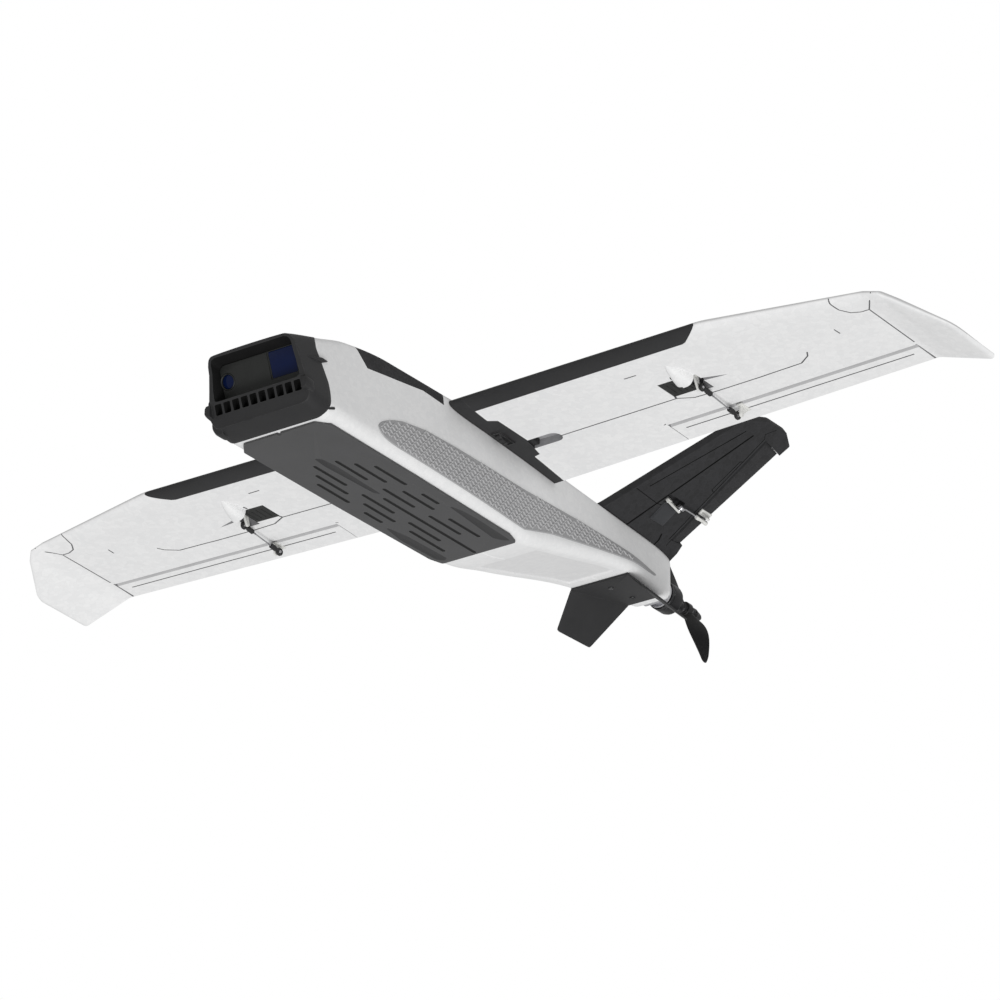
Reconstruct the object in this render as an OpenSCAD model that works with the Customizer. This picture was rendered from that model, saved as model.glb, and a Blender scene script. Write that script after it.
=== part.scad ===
// Fixed wing drone: foam airframe, detachable wings, V-tail and a rear pusher motor.
// The nose points along -Y, the left wing along +X, and the skid plate rests on Z = 0.

/* [Airframe] */
// Wing span from tip to tip, mm
wing_span = 1000; // [960:10:1040]
// Height of the wing's hinge line underside above the skid plate, mm
wing_z = 86; // [84:1:88]
// Distance of the wing's hinge line behind the middle of the length, mm
hinge_y = 22.5; // [21:0.5:24]
// Dihedral of each wing panel, degrees
dihedral = 1; // [0:0.25:1.5]
// Thickness of the skid plate, mm
skid_t = 2.5; // [2:0.1:3]
// Gap between parts that move against each other, mm
gap = 0.35; // [0.3:0.05:0.5]

/* [Wing] */
// Wing chord line at the root: leading edge distance ahead of the hinge, mm
wing_front = 134; // [130:1:138]
// Wing thickness as a fraction of the chord
wing_thick = 0.11; // [0.1:0.005:0.12]
// Wing camber as a fraction of the chord
wing_camber = 0.035; // [0.03:0.005:0.04]
// Inner end of the aileron from the centre, mm
aileron_x = 181.4; // [180:0.2:183]
// Length of the aileron, mm
aileron_len = 258; // [256:1:260]
// Height of the aileron's hinge axis above the wing's underside, mm
hinge_up = 3.5; // [3:0.1:4]
// Diameter of the carbon wing spar, mm
spar_d = 8; // [6:0.5:8]
// Half length of the wing spar, mm
spar_half = 230; // [200:5:235]

/* [Tail] */
// Dihedral of the V-tail fins, degrees
tail_angle = 35; // [33:0.5:37]
// Thickness of the V-tail fins, mm
fin_t = 8; // [7.5:0.1:8.5]
// Thickness of the bent tail plate, mm
plate_t = 2.4; // [2.2:0.1:2.6]
// Angle of the lower fins below level, degrees
lower_fin_angle = 45; // [43:1:47]

/* [Drive] */
// Height of the motor's axis above the skid plate, mm
motor_z = 65.5; // [64:0.5:67]
// Diameter of the motor bell, mm
bell_d = 28; // [26:0.5:29]
// Propeller diameter, mm
prop_d = 127; // [122:1:127]
// Propeller angle at rest from straight down, degrees
prop_rest = 25; // [0:5:40]

/* [Linkages] */
// Control horn offset behind the hinge, mm
horn_back = 5.5; // [5:0.5:6]
// Control horn drop below the hinge, mm
horn_drop = 12.5; // [12:0.5:13]
// Diameter of the linkage balls, mm
ball_d = 4; // [3.6:0.1:4.2]

/* [Hidden] */
$fn = 48;
big = 1200;
half_span = wing_span / 2;
// Clearance round a pin or a spar in its hole.
fit_gap = 0.1;

// ---- Lofted bodies -------------------------------------------------------------------
// Joins rings of points, each with the same number of points, into one closed solid.
module loft(rings, turn = false) {
    n = len(rings[0]);
    m = len(rings);
    points = [for (ring = rings) for (p = ring) p];
    sides = [for (i = [0:m - 2]) for (j = [0:n - 1]) for (k = [0:1])
        let (a = i * n + j, b = i * n + (j + 1) % n, c = a + n, d = b + n)
            k == 0 ? [a, b, d] : [a, d, c]];
    first = [for (j = [n - 1:-1:0]) j];
    last = [for (j = [0:n - 1]) (m - 1) * n + j];
    faces = concat([first], sides, [last]);
    polyhedron(points, turn ? [for (f = faces) [for (j = [len(f) - 1:-1:0]) f[j]]] : faces);
}

// Stations of the body: y, lower half width, shoulder half width, belly z, shoulder z,
// crown z and radius of the lower edge.
nose_y = -329.5;
cap_y = -285.5;
tail_y = 258;
body_stations = [
    [cap_y, 54.4, 42.6, skid_t, 77.3, 80.5, 12],
    [-248.5, 54, 40, skid_t, 88.5, 94, 12],
    [-190, 54, 40.5, skid_t, 96, 103, 12],
    [-111.5, 53, 42, skid_t, 98, 106, 12],
    [-70, 51.5, 40, skid_t, 103, 108, 11],
    [-2.5, 48, 36, skid_t, 101, 106, 10],
    [57.5, 45, 33, 15.5, 95, 100, 9],
    [173.5, 36, 25, 43.3, 94, 98, 7],
    [241, 22, 20.5, 50.1, 93, 96.5, 6],
    [tail_y, 20, 19, 52.5, 91, 94, 6]
];
cap_stations = [
    [nose_y, 50, 44, 30, 64, 65, 10],
    [-320, 51.5, 43.8, 15, 67, 69, 11],
    [-306, 53.5, 43.2, 7, 71.2, 74, 12],
    [cap_y, 54.4, 42.6, skid_t, 77.3, 80.5, 12]
];
corner_steps = 4;
crown_steps = 5;

// Right-hand half outline of one station, from the belly centre up to the crown.
function half_section(s) = concat(
    [for (i = [0:corner_steps]) let (a = -90 + 90 * i / corner_steps)
        [s[1] - s[6] + s[6] * cos(a), s[3] + s[6] + s[6] * sin(a)]],
    [for (i = [0:crown_steps]) let (a = 90 * i / crown_steps)
        [s[2] * cos(a), s[4] + (s[5] - s[4]) * sin(a)]]);
// Whole outline of one station as 3-D points.
function section_ring(s) = let (h = half_section(s), n = len(h)) concat(
    [for (p = h) [p[0], s[0], p[1]]],
    [for (i = [n - 2:-1:0]) [-h[i][0], s[0], h[i][1]]]);

module body_loft() loft([for (s = body_stations) section_ring(s)]);
module cap_loft() loft([for (s = cap_stations) section_ring(s)]);

// Extrudes a (y, z) outline across the body, between two x values.
module side_extrude(x0, x1, outline)
    translate([x0, 0, 0]) rotate([90, 0, 90]) linear_extrude(x1 - x0) polygon(outline);

module box(low, high) translate(low) cube(high - low);

// Cylinders along each axis, by their end positions.
module rod_x(x0, x1, y, z, d) translate([x0, y, z]) rotate([0, 90, 0]) cylinder(d = d, h = x1 - x0);
module rod_y(y0, y1, x, z, d) translate([x, y0, z]) rotate([-90, 0, 0]) cylinder(d = d, h = y1 - y0);
module rod_z(z0, z1, x, y, d) translate([x, y, z0]) cylinder(d = d, h = z1 - z0);

// Draws its children on the left side, or mirrored on the right side.
module on_side(side) if (side > 0) children(); else mirror([1, 0, 0]) children();

// ---- Fuselage ------------------------------------------------------------------------
bay_half = 33;
bay_floor = 14;
bay_top = 72;
bay_front = -276;
bay_back = -128;
mouth_ends = [24, 4];
duct_half = 9;
duct_low = 60;
duct_high = 76;
duct_wide_half = 18;
duct_wide_low = 40;
duct_wide_high = 80;
duct_wide_back = -6;
spar_y = hinge_y - 75;
spar_z = wing_z + 10.5;
canopy_front = -243;
canopy_back = -115.5;

// Side outline of the canopy; inset moves it inwards from the fuselage's cut-out.
function canopy_outline(inset) = [
    [canopy_front + inset, 130], [canopy_front + 4 + inset, 96], [canopy_front + 21 + inset, 76 + inset],
    [canopy_back - 29, 87.5 + inset], [canopy_back - inset, 85.5 + inset], [canopy_back - inset, 130]];

// The equipment bay, its mouth under the canopy, and the cable duct back to the motor.
module bay_space() {
    box([-bay_half, bay_front, bay_floor], [bay_half, bay_back, bay_top]);
    box([-bay_half, canopy_front + mouth_ends[0], bay_floor], [bay_half, bay_back - mouth_ends[1], big]);
    box([-duct_half, bay_back - 1, duct_low], [duct_half, tail_y + 1, duct_high]);
    box([-duct_wide_half, bay_back - 1, duct_wide_low], [duct_wide_half, duct_wide_back, duct_wide_high]);
}

// One moulded half of the body, split down the middle. The right half mirrors the left.
module fuselage_half(side) on_side(side) difference() {
    body_loft();
    box([-big, -big, -big], [0, big, big]);
    bay_space();
    side_extrude(-big, big, canopy_outline(0));
    rod_x(-big, big, spar_y, spar_z, spar_d + fit_gap);
    mount_screw_places() rod_y(tail_y - mount_screw_deep - 1, tail_y + 1, 0, 0, mount_screw_d);
    for (y = tail_screw_ys) rod_z(0, tail_plate_z(y) + tail_screw_deep, 0, y, tail_screw_d + fit_gap);
}
module fuselage_left() color("whitesmoke") fuselage_half(1);
module fuselage_right() color("whitesmoke") fuselage_half(-1);

// Patterned grip skin along each side, a thin layer over the foam.
skin_t = 0.8;
skin_x = [5, 70];
grip_outline = [
    [-215, 17], [-207, 13], [-190, 11.5], [-2.5, 11], [40, 24], [173.5, 53], [246, 62],
    [252, 65], [246, 66], [87, 59], [4, 53.5], [-147, 47], [-180, 41.5], [-196, 36], [-210, 27]];
module grip_skin(side) {
    on_side(side) intersection() {
        difference() {
            translate([skin_t, 0, 0]) body_loft();
            body_loft();
        }
        side_extrude(skin_x[0], skin_x[1], grip_outline);
    }
}
module grip_skin_left() color("silver") grip_skin(1);
module grip_skin_right() color("silver") grip_skin(-1);

// ---- Skid plate ----------------------------------------------------------------------
skid_front = -283.2;
skid_back = -3;
skid_groove_w = 4.2;
skid_groove_deep = 1.2;
// Drain grooves of the skid plate: x, front y, back y.
skid_grooves = [
    [-13, -219, -174], [-22.5, -204, -160], [-32, -190, -146], [8.7, -217, -173], [19.2, -204, -160],
    [30.5, -191, -147], [-12.5, -153, -108], [-22.5, -138, -94], [-32.7, -124, -99],
    [9.4, -152, -108], [-1.8, -137, -6], [20.7, -139, -95], [31, -126, -102], [-13, -87, -42],
    [-22.8, -73, -23], [9.8, -88, -43], [20.6, -74, -30]];
module groove(g) {
    r = skid_groove_w / 2;
    box([g[0] - r, g[1] + r, -1], [g[0] + r, g[2] - r, skid_groove_deep]);
    for (y = [g[1] + r, g[2] - r]) rod_z(-1, skid_groove_deep, g[0], y, skid_groove_w);
}
// Outline of the plate's left edge, from front to back.
skid_edge = [[37.9, skid_front], [47.1, skid_front + 12], [46.5, -150], [44, skid_back - 14],
    [39.9, skid_back]];
module skid_plate() color("dimgray") difference() {
    linear_extrude(skid_t) polygon(concat(skid_edge,
        [for (i = [len(skid_edge) - 1:-1:0]) [-skid_edge[i][0], skid_edge[i][1]]]));
    for (g = skid_grooves) groove(g);
}

// ---- Nose ----------------------------------------------------------------------------
// Slant of the nose's open front: leans back this far for each mm down.
front_lean = 0.42;
front_top = 64;
face_y = -317;
face_top = 62;
face_low = 29.5;
face_half = 42;
face_t = 3;
vent_low = 17.5;
vent_y = -312;
vent_half = 44.5;
vent_t = 4;
vent_count = 10;
vent_pitch = 9.4;
vent_slot_w = 6;
camera_x = 25;
camera_z = 47;
camera_w = 26;
camera_h = 24;
sensor_x = -33.2;
sensor_z = 44.5;
sensor_d = 15.4;
window_t = 1.6;
window_in = 0.6;
cap_room_front = -305;
function lean_y(y_top, z) = y_top + front_lean * (face_top - z);
// Slab that follows the nose's slanted front, from z0 to z1 and t thick.
module slanted(y_top, t, z0, z1, half_w) side_extrude(-half_w, half_w, [
    [lean_y(y_top, z0), z0], [lean_y(y_top, z1), z1],
    [lean_y(y_top, z1) + t, z1], [lean_y(y_top, z0) + t, z0]]);

module nose_cap() color([0.13, 0.13, 0.14]) difference() {
    cap_loft();
    side_extrude(-big, big, [[nose_y - 20, front_top], [nose_y, front_top], [lean_y(nose_y, 10), 10],
        [lean_y(nose_y, 10), -20], [nose_y - 20, -20]]);
    slanted(nose_y - 20, 20 + face_y - nose_y, face_low, face_top - 1, face_half + 0.5);
    slanted(vent_y - 40, 40, vent_low, face_low - 2, vent_half + 2.5);
    slanted(face_y - 0.5, 60, face_low - 0.5, face_top - 0.5, face_half + 0.5);
    slanted(vent_y - 0.5, 60, vent_low + 0.5, face_low + 1, vent_half + 0.5);
    box([-bay_half, cap_room_front, bay_floor], [bay_half, cap_y + 1, 66]);
}
// Square and round openings of the camera face, grown by g all round.
module camera_opening(g) box([camera_x - camera_w / 2 - g, nose_y, camera_z - camera_h / 2 - g],
    [camera_x + camera_w / 2 + g, cap_y, camera_z + camera_h / 2 + g]);
module sensor_opening(g) rod_y(nose_y, cap_y, sensor_x, sensor_z, sensor_d + 2 * g);
module camera_face() color([0.25, 0.25, 0.26]) difference() {
    slanted(face_y, face_t, face_low, face_top - 1, face_half);
    camera_opening(0);
    sensor_opening(0);
}
module vent_grille() color([0.2, 0.2, 0.21]) difference() {
    slanted(vent_y, vent_t, vent_low + 1, face_low - 0.5, vent_half);
    for (i = [0:vent_count - 1]) {
        x = (i - (vent_count - 1) / 2) * vent_pitch;
        box([x - vent_slot_w / 2, nose_y, vent_low + 3], [x + vent_slot_w / 2, cap_y, face_low - 2.5]);
    }
}
module window_slab() slanted(face_y + window_in, window_t, 20, 70, 60);
module camera_window() color([0.1, 0.2, 0.5]) intersection() {
    window_slab();
    camera_opening(-0.1);
}
module sensor_window() color([0.1, 0.2, 0.5]) intersection() {
    window_slab();
    sensor_opening(-0.1);
}
// Camera body behind the square window, with its lens barrel.
module camera_module() color([0.08, 0.08, 0.09]) {
    box([camera_x - 13, -300, camera_z - 13], [camera_x + 5, cap_y - 0.5, camera_z + 13]);
    rod_y(-304.5, -300, camera_x - 4, camera_z, 14);
}

// ---- Canopy --------------------------------------------------------------------------
canopy_room_top = 96;
module canopy() color([0.13, 0.13, 0.14]) difference() {
    intersection() {
        body_loft();
        side_extrude(-big, big, canopy_outline(gap));
    }
    box([-bay_half + 4, canopy_front + 30, 60], [bay_half - 4, canopy_back - 18, canopy_room_top]);
}

// ---- Equipment in the bay ------------------------------------------------------------
tray_z = bay_floor + 0.2;
tray_t = 2;
battery_z = tray_z + tray_t;
battery_y = -268;
battery_size = [36, 92, 27];
strap_w = 16;
strap_t = 1.5;
controller_y = -150;
controller_size = [36, 36, 4];
controller_case = [28, 28, 10];
speed_size = [24, 50, 10];
speed_y = -100;
speed_z = 44;
module equipment_tray() color("tan")
    box([-bay_half + 0.5, bay_front + 2, tray_z], [bay_half - 0.5, bay_back - 2, battery_z]);
module battery() color("royalblue")
    translate([-battery_size[0] / 2, battery_y, battery_z]) cube(battery_size);
// Webbing loop over the battery, open below.
module battery_strap() color("black") translate([0, battery_y + battery_size[1] / 2, battery_z])
    difference() {
        floor_box(battery_size[0] + 2 * strap_t, strap_w, battery_size[2] + strap_t);
        floor_box(battery_size[0], strap_w + 2, battery_size[2]);
    }
// Box centred over the origin and standing on it.
module floor_box(w, l, h) translate([-w / 2, -l / 2, 0]) cube([w, l, h]);
module flight_controller() color("darkslategray") translate([0, controller_y, battery_z]) {
    floor_box(controller_size[0], controller_size[1], controller_size[2]);
    floor_box(controller_case[0], controller_case[1], controller_case[2]);
}
module speed_controller() color("darkslategray")
    translate([-speed_size[0] / 2, speed_y, speed_z]) cube(speed_size);

// ---- Wing spar -----------------------------------------------------------------------
module main_spar() color([0.1, 0.1, 0.1]) difference() {
    rod_x(-spar_half, spar_half, spar_y, spar_z, spar_d);
    rod_x(-spar_half - 1, spar_half + 1, spar_y, spar_z, spar_d - 2);
}

// ---- Tail plate with the lower fins --------------------------------------------------
plate_front = 173.5;
plate_back = 239;
plate_front_z = 40.8;
plate_back_z = 47.4;
plate_front_w = 31.3;
plate_back_w = 14.7;
lower_fin_len = 38;
lower_fin_sweep = 0.46;
tail_screw_ys = [191.5, 224.5];
tail_screw_d = 2.5;
tail_screw_head_d = 5;
tail_screw_deep = 9;
plate_slope = (plate_back_z - plate_front_z) / (plate_back - plate_front);
function tail_plate_z(y) = plate_front_z + plate_slope * (y - plate_front);

// Corners of the left lower fin. The last one is worked out so that all four lie in a plane.
fin_a = [plate_front_w, plate_front, plate_front_z];
fin_b = [plate_back_w, plate_back, plate_back_z];
fin_c = fin_a + lower_fin_len * [cos(lower_fin_angle), lower_fin_sweep, -sin(lower_fin_angle)];
fin_n = cross(fin_b - fin_a, fin_c - fin_a) / norm(cross(fin_b - fin_a, fin_c - fin_a));
fin_d_xy = [53.8, 234.2];
fin_d = [fin_d_xy[0], fin_d_xy[1], fin_a[2]
    - (fin_n[0] * (fin_d_xy[0] - fin_a[0]) + fin_n[1] * (fin_d_xy[1] - fin_a[1])) / fin_n[2]];
// Flat sheet from a ring of corner points, thickened by a vector.
module sheet(corners, up) loft([corners, [for (c = corners) c + up]], true);
// The fin's root starts a little inside the plate, so that both make one bent piece.
fin_root = [-0.7, 0, 0.7];
fin_sheet_t = 1.5;
module lower_fin(side) on_side(side)
    sheet([fin_a + fin_root, fin_c, fin_d, fin_b + fin_root], fin_n * fin_sheet_t * sign(fin_n[2]));
module tail_plate() color([0.13, 0.13, 0.14]) difference() {
    union() {
        sheet([[plate_front_w, plate_front, plate_front_z], [plate_back_w, plate_back, plate_back_z],
            [-plate_back_w, plate_back, plate_back_z], [-plate_front_w, plate_front, plate_front_z]],
            [0, 0, plate_t]);
        lower_fin(1);
        lower_fin(-1);
    }
    for (y = tail_screw_ys) rod_z(0, 100, 0, y, tail_screw_d + fit_gap);
}
module tail_plate_screws() color("dimgray") for (y = tail_screw_ys) {
    z = tail_plate_z(y);
    rod_z(z - 1.3, z - 0.3, 0, y, tail_screw_head_d);
    rod_z(z - 0.4, z + tail_screw_deep, 0, y, tail_screw_d);
}

// ---- Motor and propeller -------------------------------------------------------------
mount_t = 3;
mount_half = 13.5;
mount_screw_d = 2;
mount_screw_deep = 6;
cup_d = 20;
stator_y = 264.5;
stator_d = 22;
bell_y = 268;
bell_back = 285;
bell_wall = 2;
hub_y = 303;
hub_t = 7;
hub_d = 14;
nut_tip_y = 329.5;
shaft_d = 4;
module mount_screw_places() for (x = [-10.8, 10.8]) for (z = [-8.5, 13])
    translate([x, 0, motor_z + z]) children();
module motor_mount() color("gainsboro") difference() {
    union() {
        box([-mount_half, tail_y, motor_z - 11.5], [mount_half, tail_y + mount_t, motor_z + 16]);
        rod_y(tail_y + mount_t, stator_y, 0, motor_z, cup_d);
    }
    rod_y(tail_y - 1, stator_y + 1, 0, motor_z, cup_d - 8);
    mount_screw_places() rod_y(tail_y - 1, tail_y + mount_t + 1, 0, 0, mount_screw_d + 0.2);
}
module motor_screws() color("dimgray") mount_screw_places() {
    rod_y(tail_y - mount_screw_deep, tail_y + mount_t + 0.1, 0, 0, mount_screw_d);
    rod_y(tail_y + mount_t, tail_y + mount_t + 1.6, 0, 0, mount_screw_d + 1.6);
}
// Base plate, bearing tube and nine wound teeth.
module motor_stator() color("peru") difference() {
    union() {
        rod_y(stator_y, stator_y + 2.5, 0, motor_z, bell_d - 2);
        rod_y(stator_y + 2, bell_back - 4, 0, motor_z, 12);
        for (a = [0:40:320]) translate([0, 0, motor_z]) rotate([0, a, 0])
            box([-1.5, bell_y + 1, 5], [1.5, bell_back - 5, stator_d / 2]);
    }
    rod_y(stator_y - 1, bell_back, 0, motor_z, shaft_d + fit_gap);
}
module motor_bell() color([0.2, 0.2, 0.22]) difference() {
    union() {
        rod_y(bell_y, bell_back, 0, motor_z, bell_d);
        rod_y(stator_y - 2, hub_y, 0, motor_z, shaft_d);
        rod_y(bell_back - 0.5, hub_y, 0, motor_z, 10);
        rod_y(hub_y - 0.5, nut_tip_y - 6, 0, motor_z, shaft_d + 1);
    }
    difference() {
        rod_y(bell_y - 1, bell_back - 2.5, 0, motor_z, bell_d - 2 * bell_wall);
        rod_y(bell_y - 2, bell_back, 0, motor_z, shaft_d);
    }
    for (a = [30:60:330]) translate([0, 0, motor_z]) rotate([0, a, 0])
        rod_y(bell_back - 4, bell_back + 1, 0, 8.5, 4.5);
}

prop_pitch = 114;
blade_root = 5;
blade_steps = 9;
blade_points = 12;
prop_r = prop_d / 2;
// Chord, thickness and sweep of the blade at a fraction of the radius.
function blade_chord(f) = 8 + 9 * sin(180 * pow(f, 0.8)) - 3 * f;
function blade_thick(f) = 3.4 - 2.4 * f;
function blade_sweep(f) = 3.2 * sin(180 * f) - 3 * f * f;
function blade_ring(f) = let (r = blade_root + (prop_r - blade_root) * f,
        twist = atan(prop_pitch / (2 * PI * max(r, 14))), c = blade_chord(f), t = blade_thick(f))
    [for (j = [0:blade_points - 1]) let (a = 360 * j / blade_points,
            u = c / 2 * cos(a) + blade_sweep(f), v = t / 2 * sin(a))
        [u * cos(twist) - v * sin(twist), u * sin(twist) + v * cos(twist), -r]];
module blade() loft([for (i = [0:blade_steps]) blade_ring(i / blade_steps)]);
module propeller() color([0.1, 0.1, 0.1]) difference() {
    translate([0, hub_y + hub_t / 2, motor_z]) rotate([0, -prop_rest, 0]) union() {
        blade();
        rotate([0, 180, 0]) blade();
        rod_y(-hub_t / 2, hub_t / 2, 0, 0, hub_d);
    }
    rod_y(hub_y - 1, hub_y + hub_t + 1, 0, motor_z, shaft_d + 1);
}
module prop_nut() color("silver") difference() {
    translate([0, 0, motor_z]) rotate([-90, 0, 0]) rotate_extrude() polygon([
        [0, hub_y + hub_t], [5.5, hub_y + hub_t], [5.5, hub_y + hub_t + 9],
        [3.6, nut_tip_y - 3], [1.6, nut_tip_y], [0, nut_tip_y]]);
    rod_y(hub_y, nut_tip_y - 6, 0, motor_z, shaft_d + 1 + fit_gap);
}

// ---- Control linkages ----------------------------------------------------------------
// Drawn in a hinge frame: X along the hinge, Y behind it, Z above it. The servo's shaft,
// the arm, the rod and the horn make a parallelogram, so arm and surface turn together.
link_x = 69.5;
arm_inner = 4.9;
arm_t = 2;
pin_d = 3;
ball_gap = 0.3;
ring_d = 7;
ring_t = 3.2;
stem_d = 3;
stem_len = 13;
wire_d = 1.4;
arm_w = [7, 4];
horn_x = [3.4, 5];
horn_foot = [3, 15];
horn_tip_half = 2.2;
module bar(from, to, d) {
    v = to - from;
    translate(from) rotate([0, acos(v[2] / norm(v)), atan2(v[1], v[0])]) cylinder(d = d, h = norm(v));
}
// Lever in the YZ plane between two points, t thick from x0.
module lever(x0, t, a, b, wa, wb) {
    v = b - a;
    n = [-v[1], v[0]] / norm(v) / 2;
    side_extrude(x0, x0 + t, [a + n * wa, a - n * wa, b - n * wb, b + n * wb]);
    rod_x(x0, x0 + t, a[0], a[1], wa);
    rod_x(x0, x0 + t, b[0], b[1], wb);
}
module ball_stud(x0, x1, p) {
    rod_x(min(x0, x1), max(x0, x1), p[0], p[1], ball_d / 2);
    translate([x1, p[0], p[1]]) rotate([0, 0, 90]) sphere(d = ball_d);
}
function horn_ball() = [horn_back, -horn_drop];
module servo_arm(x, reach) {
    pivot = -reach;
    difference() {
        lever(x - arm_inner, arm_t, pivot, pivot + horn_ball(), arm_w[0], arm_w[1]);
        rod_x(x - 9, x + 9, pivot[0], pivot[1], pin_d + fit_gap);
    }
    ball_stud(x - arm_inner + arm_t - 0.2, x, pivot + horn_ball());
}
module link_rod(x, reach) {
    a = horn_ball() - reach;
    b = horn_ball();
    d = reach / norm(reach);
    difference() {
        union() {
            for (p = [a, b]) rod_x(x - ring_t / 2, x + ring_t / 2, p[0], p[1], ring_d);
            link_bar(x, a + 3 * d, a + stem_len * d, stem_d);
            link_bar(x, b - 3 * d, b - stem_len * d, stem_d);
            link_bar(x, a + 4 * d, b - 4 * d, wire_d);
        }
        for (p = [a, b]) rod_x(x - 9, x + 9, p[0], p[1], ball_d + 2 * ball_gap);
    }
}
module link_bar(x, from, to, d) bar([x, from[0], from[1]], [x, to[0], to[1]], d);
// Control horn: a foot under the surface, a blade down to the ball.
module horn(x, foot_z) {
    side_extrude(x + horn_x[0], x + horn_x[1], [[horn_foot[0], foot_z], [horn_foot[1], foot_z],
        [horn_back + horn_tip_half, -horn_drop - 1], [horn_back - horn_tip_half, -horn_drop - 1]]);
    rod_x(x + horn_x[0], x + horn_x[1], horn_back, -horn_drop, 4.8);
    ball_stud(x + horn_x[0] + 0.2, x, horn_ball());
}

// ---- V-tail --------------------------------------------------------------------------
tail_root = [20, 0, 94];
tail_hinge_y = 240;
tail_link_x = 46;
tail_reach = [36.5, 1];
rudder_in = 13.2;
rudder_out = 137.8;
module tail_frame() translate(tail_root) rotate([0, -tail_angle, 0]) children();
module tail_hinge_frame(side) on_side(side)
    tail_frame() translate([0, tail_hinge_y, fin_t / 2]) children();
// Wedge nose of a control surface: its faces lean 30 degrees back from the hinge axis.
nose_lean = 30;
module surface_zone(x0, x1, deep, tall) side_extrude(x0, x1, [[0, 0],
    [tall * tan(nose_lean), -tall], [deep, -tall], [deep, tall], [tall * tan(nose_lean), tall]]);

module tail_servo_body(grow) {
    x1 = tail_link_x - arm_inner - 1;
    box([x1 - 20 - grow, -tail_reach[0] - 6 - grow, -tail_reach[1] - 4 - grow],
        [x1 + grow, -tail_reach[0] + 14 + grow, -tail_reach[1] + 3.6 + grow]);
}
module tail_fin(side) on_side(side) difference() {
    tail_frame() linear_extrude(fin_t) polygon([
        [-9, 129], [7, 136.5], [149, 205.5], [156, 230.5], [155, 252.5], [146, 268.5],
        [133.6, 267], [rudder_out + 0.6, tail_hinge_y - gap], [rudder_in - 0.4, tail_hinge_y - gap],
        [rudder_in + 1, 256], [5, 258.5], [-9, 258.5]]);
    tail_hinge_frame(1) tail_servo_body(0.1);
    tail_hinge_frame(1) box([tail_link_x - arm_inner - 1.6, -tail_reach[0] - 7, -20],
        [tail_link_x + 3, -tail_reach[0] + 16, fin_t / 2 - 0.6]);
    body_loft();
}
module tail_fin_left() color([0.15, 0.15, 0.16]) tail_fin(1);
module tail_fin_right() color([0.15, 0.15, 0.16]) tail_fin(-1);

module tail_servo(side) tail_hinge_frame(side) {
    tail_servo_body(0);
    rod_x(tail_link_x - arm_inner - 2, tail_link_x - arm_inner + arm_t + 0.4,
        -tail_reach[0], -tail_reach[1], pin_d);
}
module tail_servo_left() color("slategray") tail_servo(1);
module tail_servo_right() color("slategray") tail_servo(-1);

module tail_servo_arm_left() color("white") tail_hinge_frame(1) servo_arm(tail_link_x, tail_reach);
module tail_servo_arm_right() color("white") tail_hinge_frame(-1) servo_arm(tail_link_x, tail_reach);
module tail_pushrod_left() color("silver") tail_hinge_frame(1) link_rod(tail_link_x, tail_reach);
module tail_pushrod_right() color("silver") tail_hinge_frame(-1) link_rod(tail_link_x, tail_reach);

module ruddervator(side) tail_hinge_frame(side) {
    intersection() {
        translate([0, 0, -fin_t / 2]) linear_extrude(fin_t) polygon([
            [rudder_in, 0], [rudder_out, 0], [132.8, 26.5], [rudder_in + 2, 15]]);
        surface_zone(0, 200, 60, fin_t);
        side_extrude(0, 200, [[-1, -fin_t / 2], [6, -fin_t / 2], [27, -1], [27, 1],
            [6, fin_t / 2], [-1, fin_t / 2]]);
    }
    horn(tail_link_x, -fin_t / 2 + 0.6);
}
module ruddervator_left() color([0.15, 0.15, 0.16]) ruddervator(1);
module ruddervator_right() color([0.15, 0.15, 0.16]) ruddervator(-1);

// ---- Wing ----------------------------------------------------------------------------
foil_steps = 12;
edge_t = 1.2;
camber_at = 0.4;
// Stations of the left wing: x, leading edge y and z, trailing edge y and z of the chord
// line, and thickness and camber as fractions of the chord.
function dihedral_z(x) = (x - aileron_x) * tan(dihedral);
wing_stations = [
    [30, hinge_y - wing_front, wing_z + 8.2 + dihedral_z(30), 56, wing_z - 0.5 + dihedral_z(30),
        wing_thick, wing_camber],
    [300, hinge_y - wing_front, wing_z + 8.2 + dihedral_z(300), 51, wing_z - 0.5 + dihedral_z(300),
        wing_thick, wing_camber],
    [446, -71.5, wing_z + 11, 48.3, wing_z + 4.2, 0.1, 0.03],
    [half_span - 3, -24, wing_z - 8.5, 49.4, wing_z - 12, 0.08, 0.02],
    [half_span, -15, wing_z - 9.6, 49.4, wing_z - 12.8, 0.05, 0.02]];

function foil_half(u, t) = 5 * t * (0.2969 * sqrt(u) - 0.126 * u - 0.3516 * u * u
    + 0.2843 * pow(u, 3) - 0.1015 * pow(u, 4));
function foil_line(u, m) = u < camber_at ? m / pow(camber_at, 2) * (2 * camber_at * u - u * u)
    : m / pow(1 - camber_at, 2) * (1 - 2 * camber_at + 2 * camber_at * u - u * u);
function foil_point(s, u, up) = let (c = s[3] - s[1],
        v = c * (foil_line(u, s[6]) + up * foil_half(u, s[5])) + up * edge_t / 2 * u)
    [s[0], s[1] + c * u, s[2] + (s[4] - s[2]) * u + v];
// Outline of one wing station, from the trailing edge over the top and back underneath.
function foil_ring(s) = concat(
    [for (i = [foil_steps:-1:0]) foil_point(s, (1 - cos(180 * i / foil_steps)) / 2, 1)],
    [for (i = [1:foil_steps]) foil_point(s, (1 - cos(180 * i / foil_steps)) / 2, -1)]);
module wing_loft() loft([for (s = wing_stations) foil_ring(s)], true);

hinge_sweep = 0.5;
module wing_hinge_frame() translate([aileron_x, hinge_y, wing_z + hinge_up])
    rotate([0, -dihedral, 0]) rotate([0, 0, -hinge_sweep]) children();
wing_reach = [52, -5.5];

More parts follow.
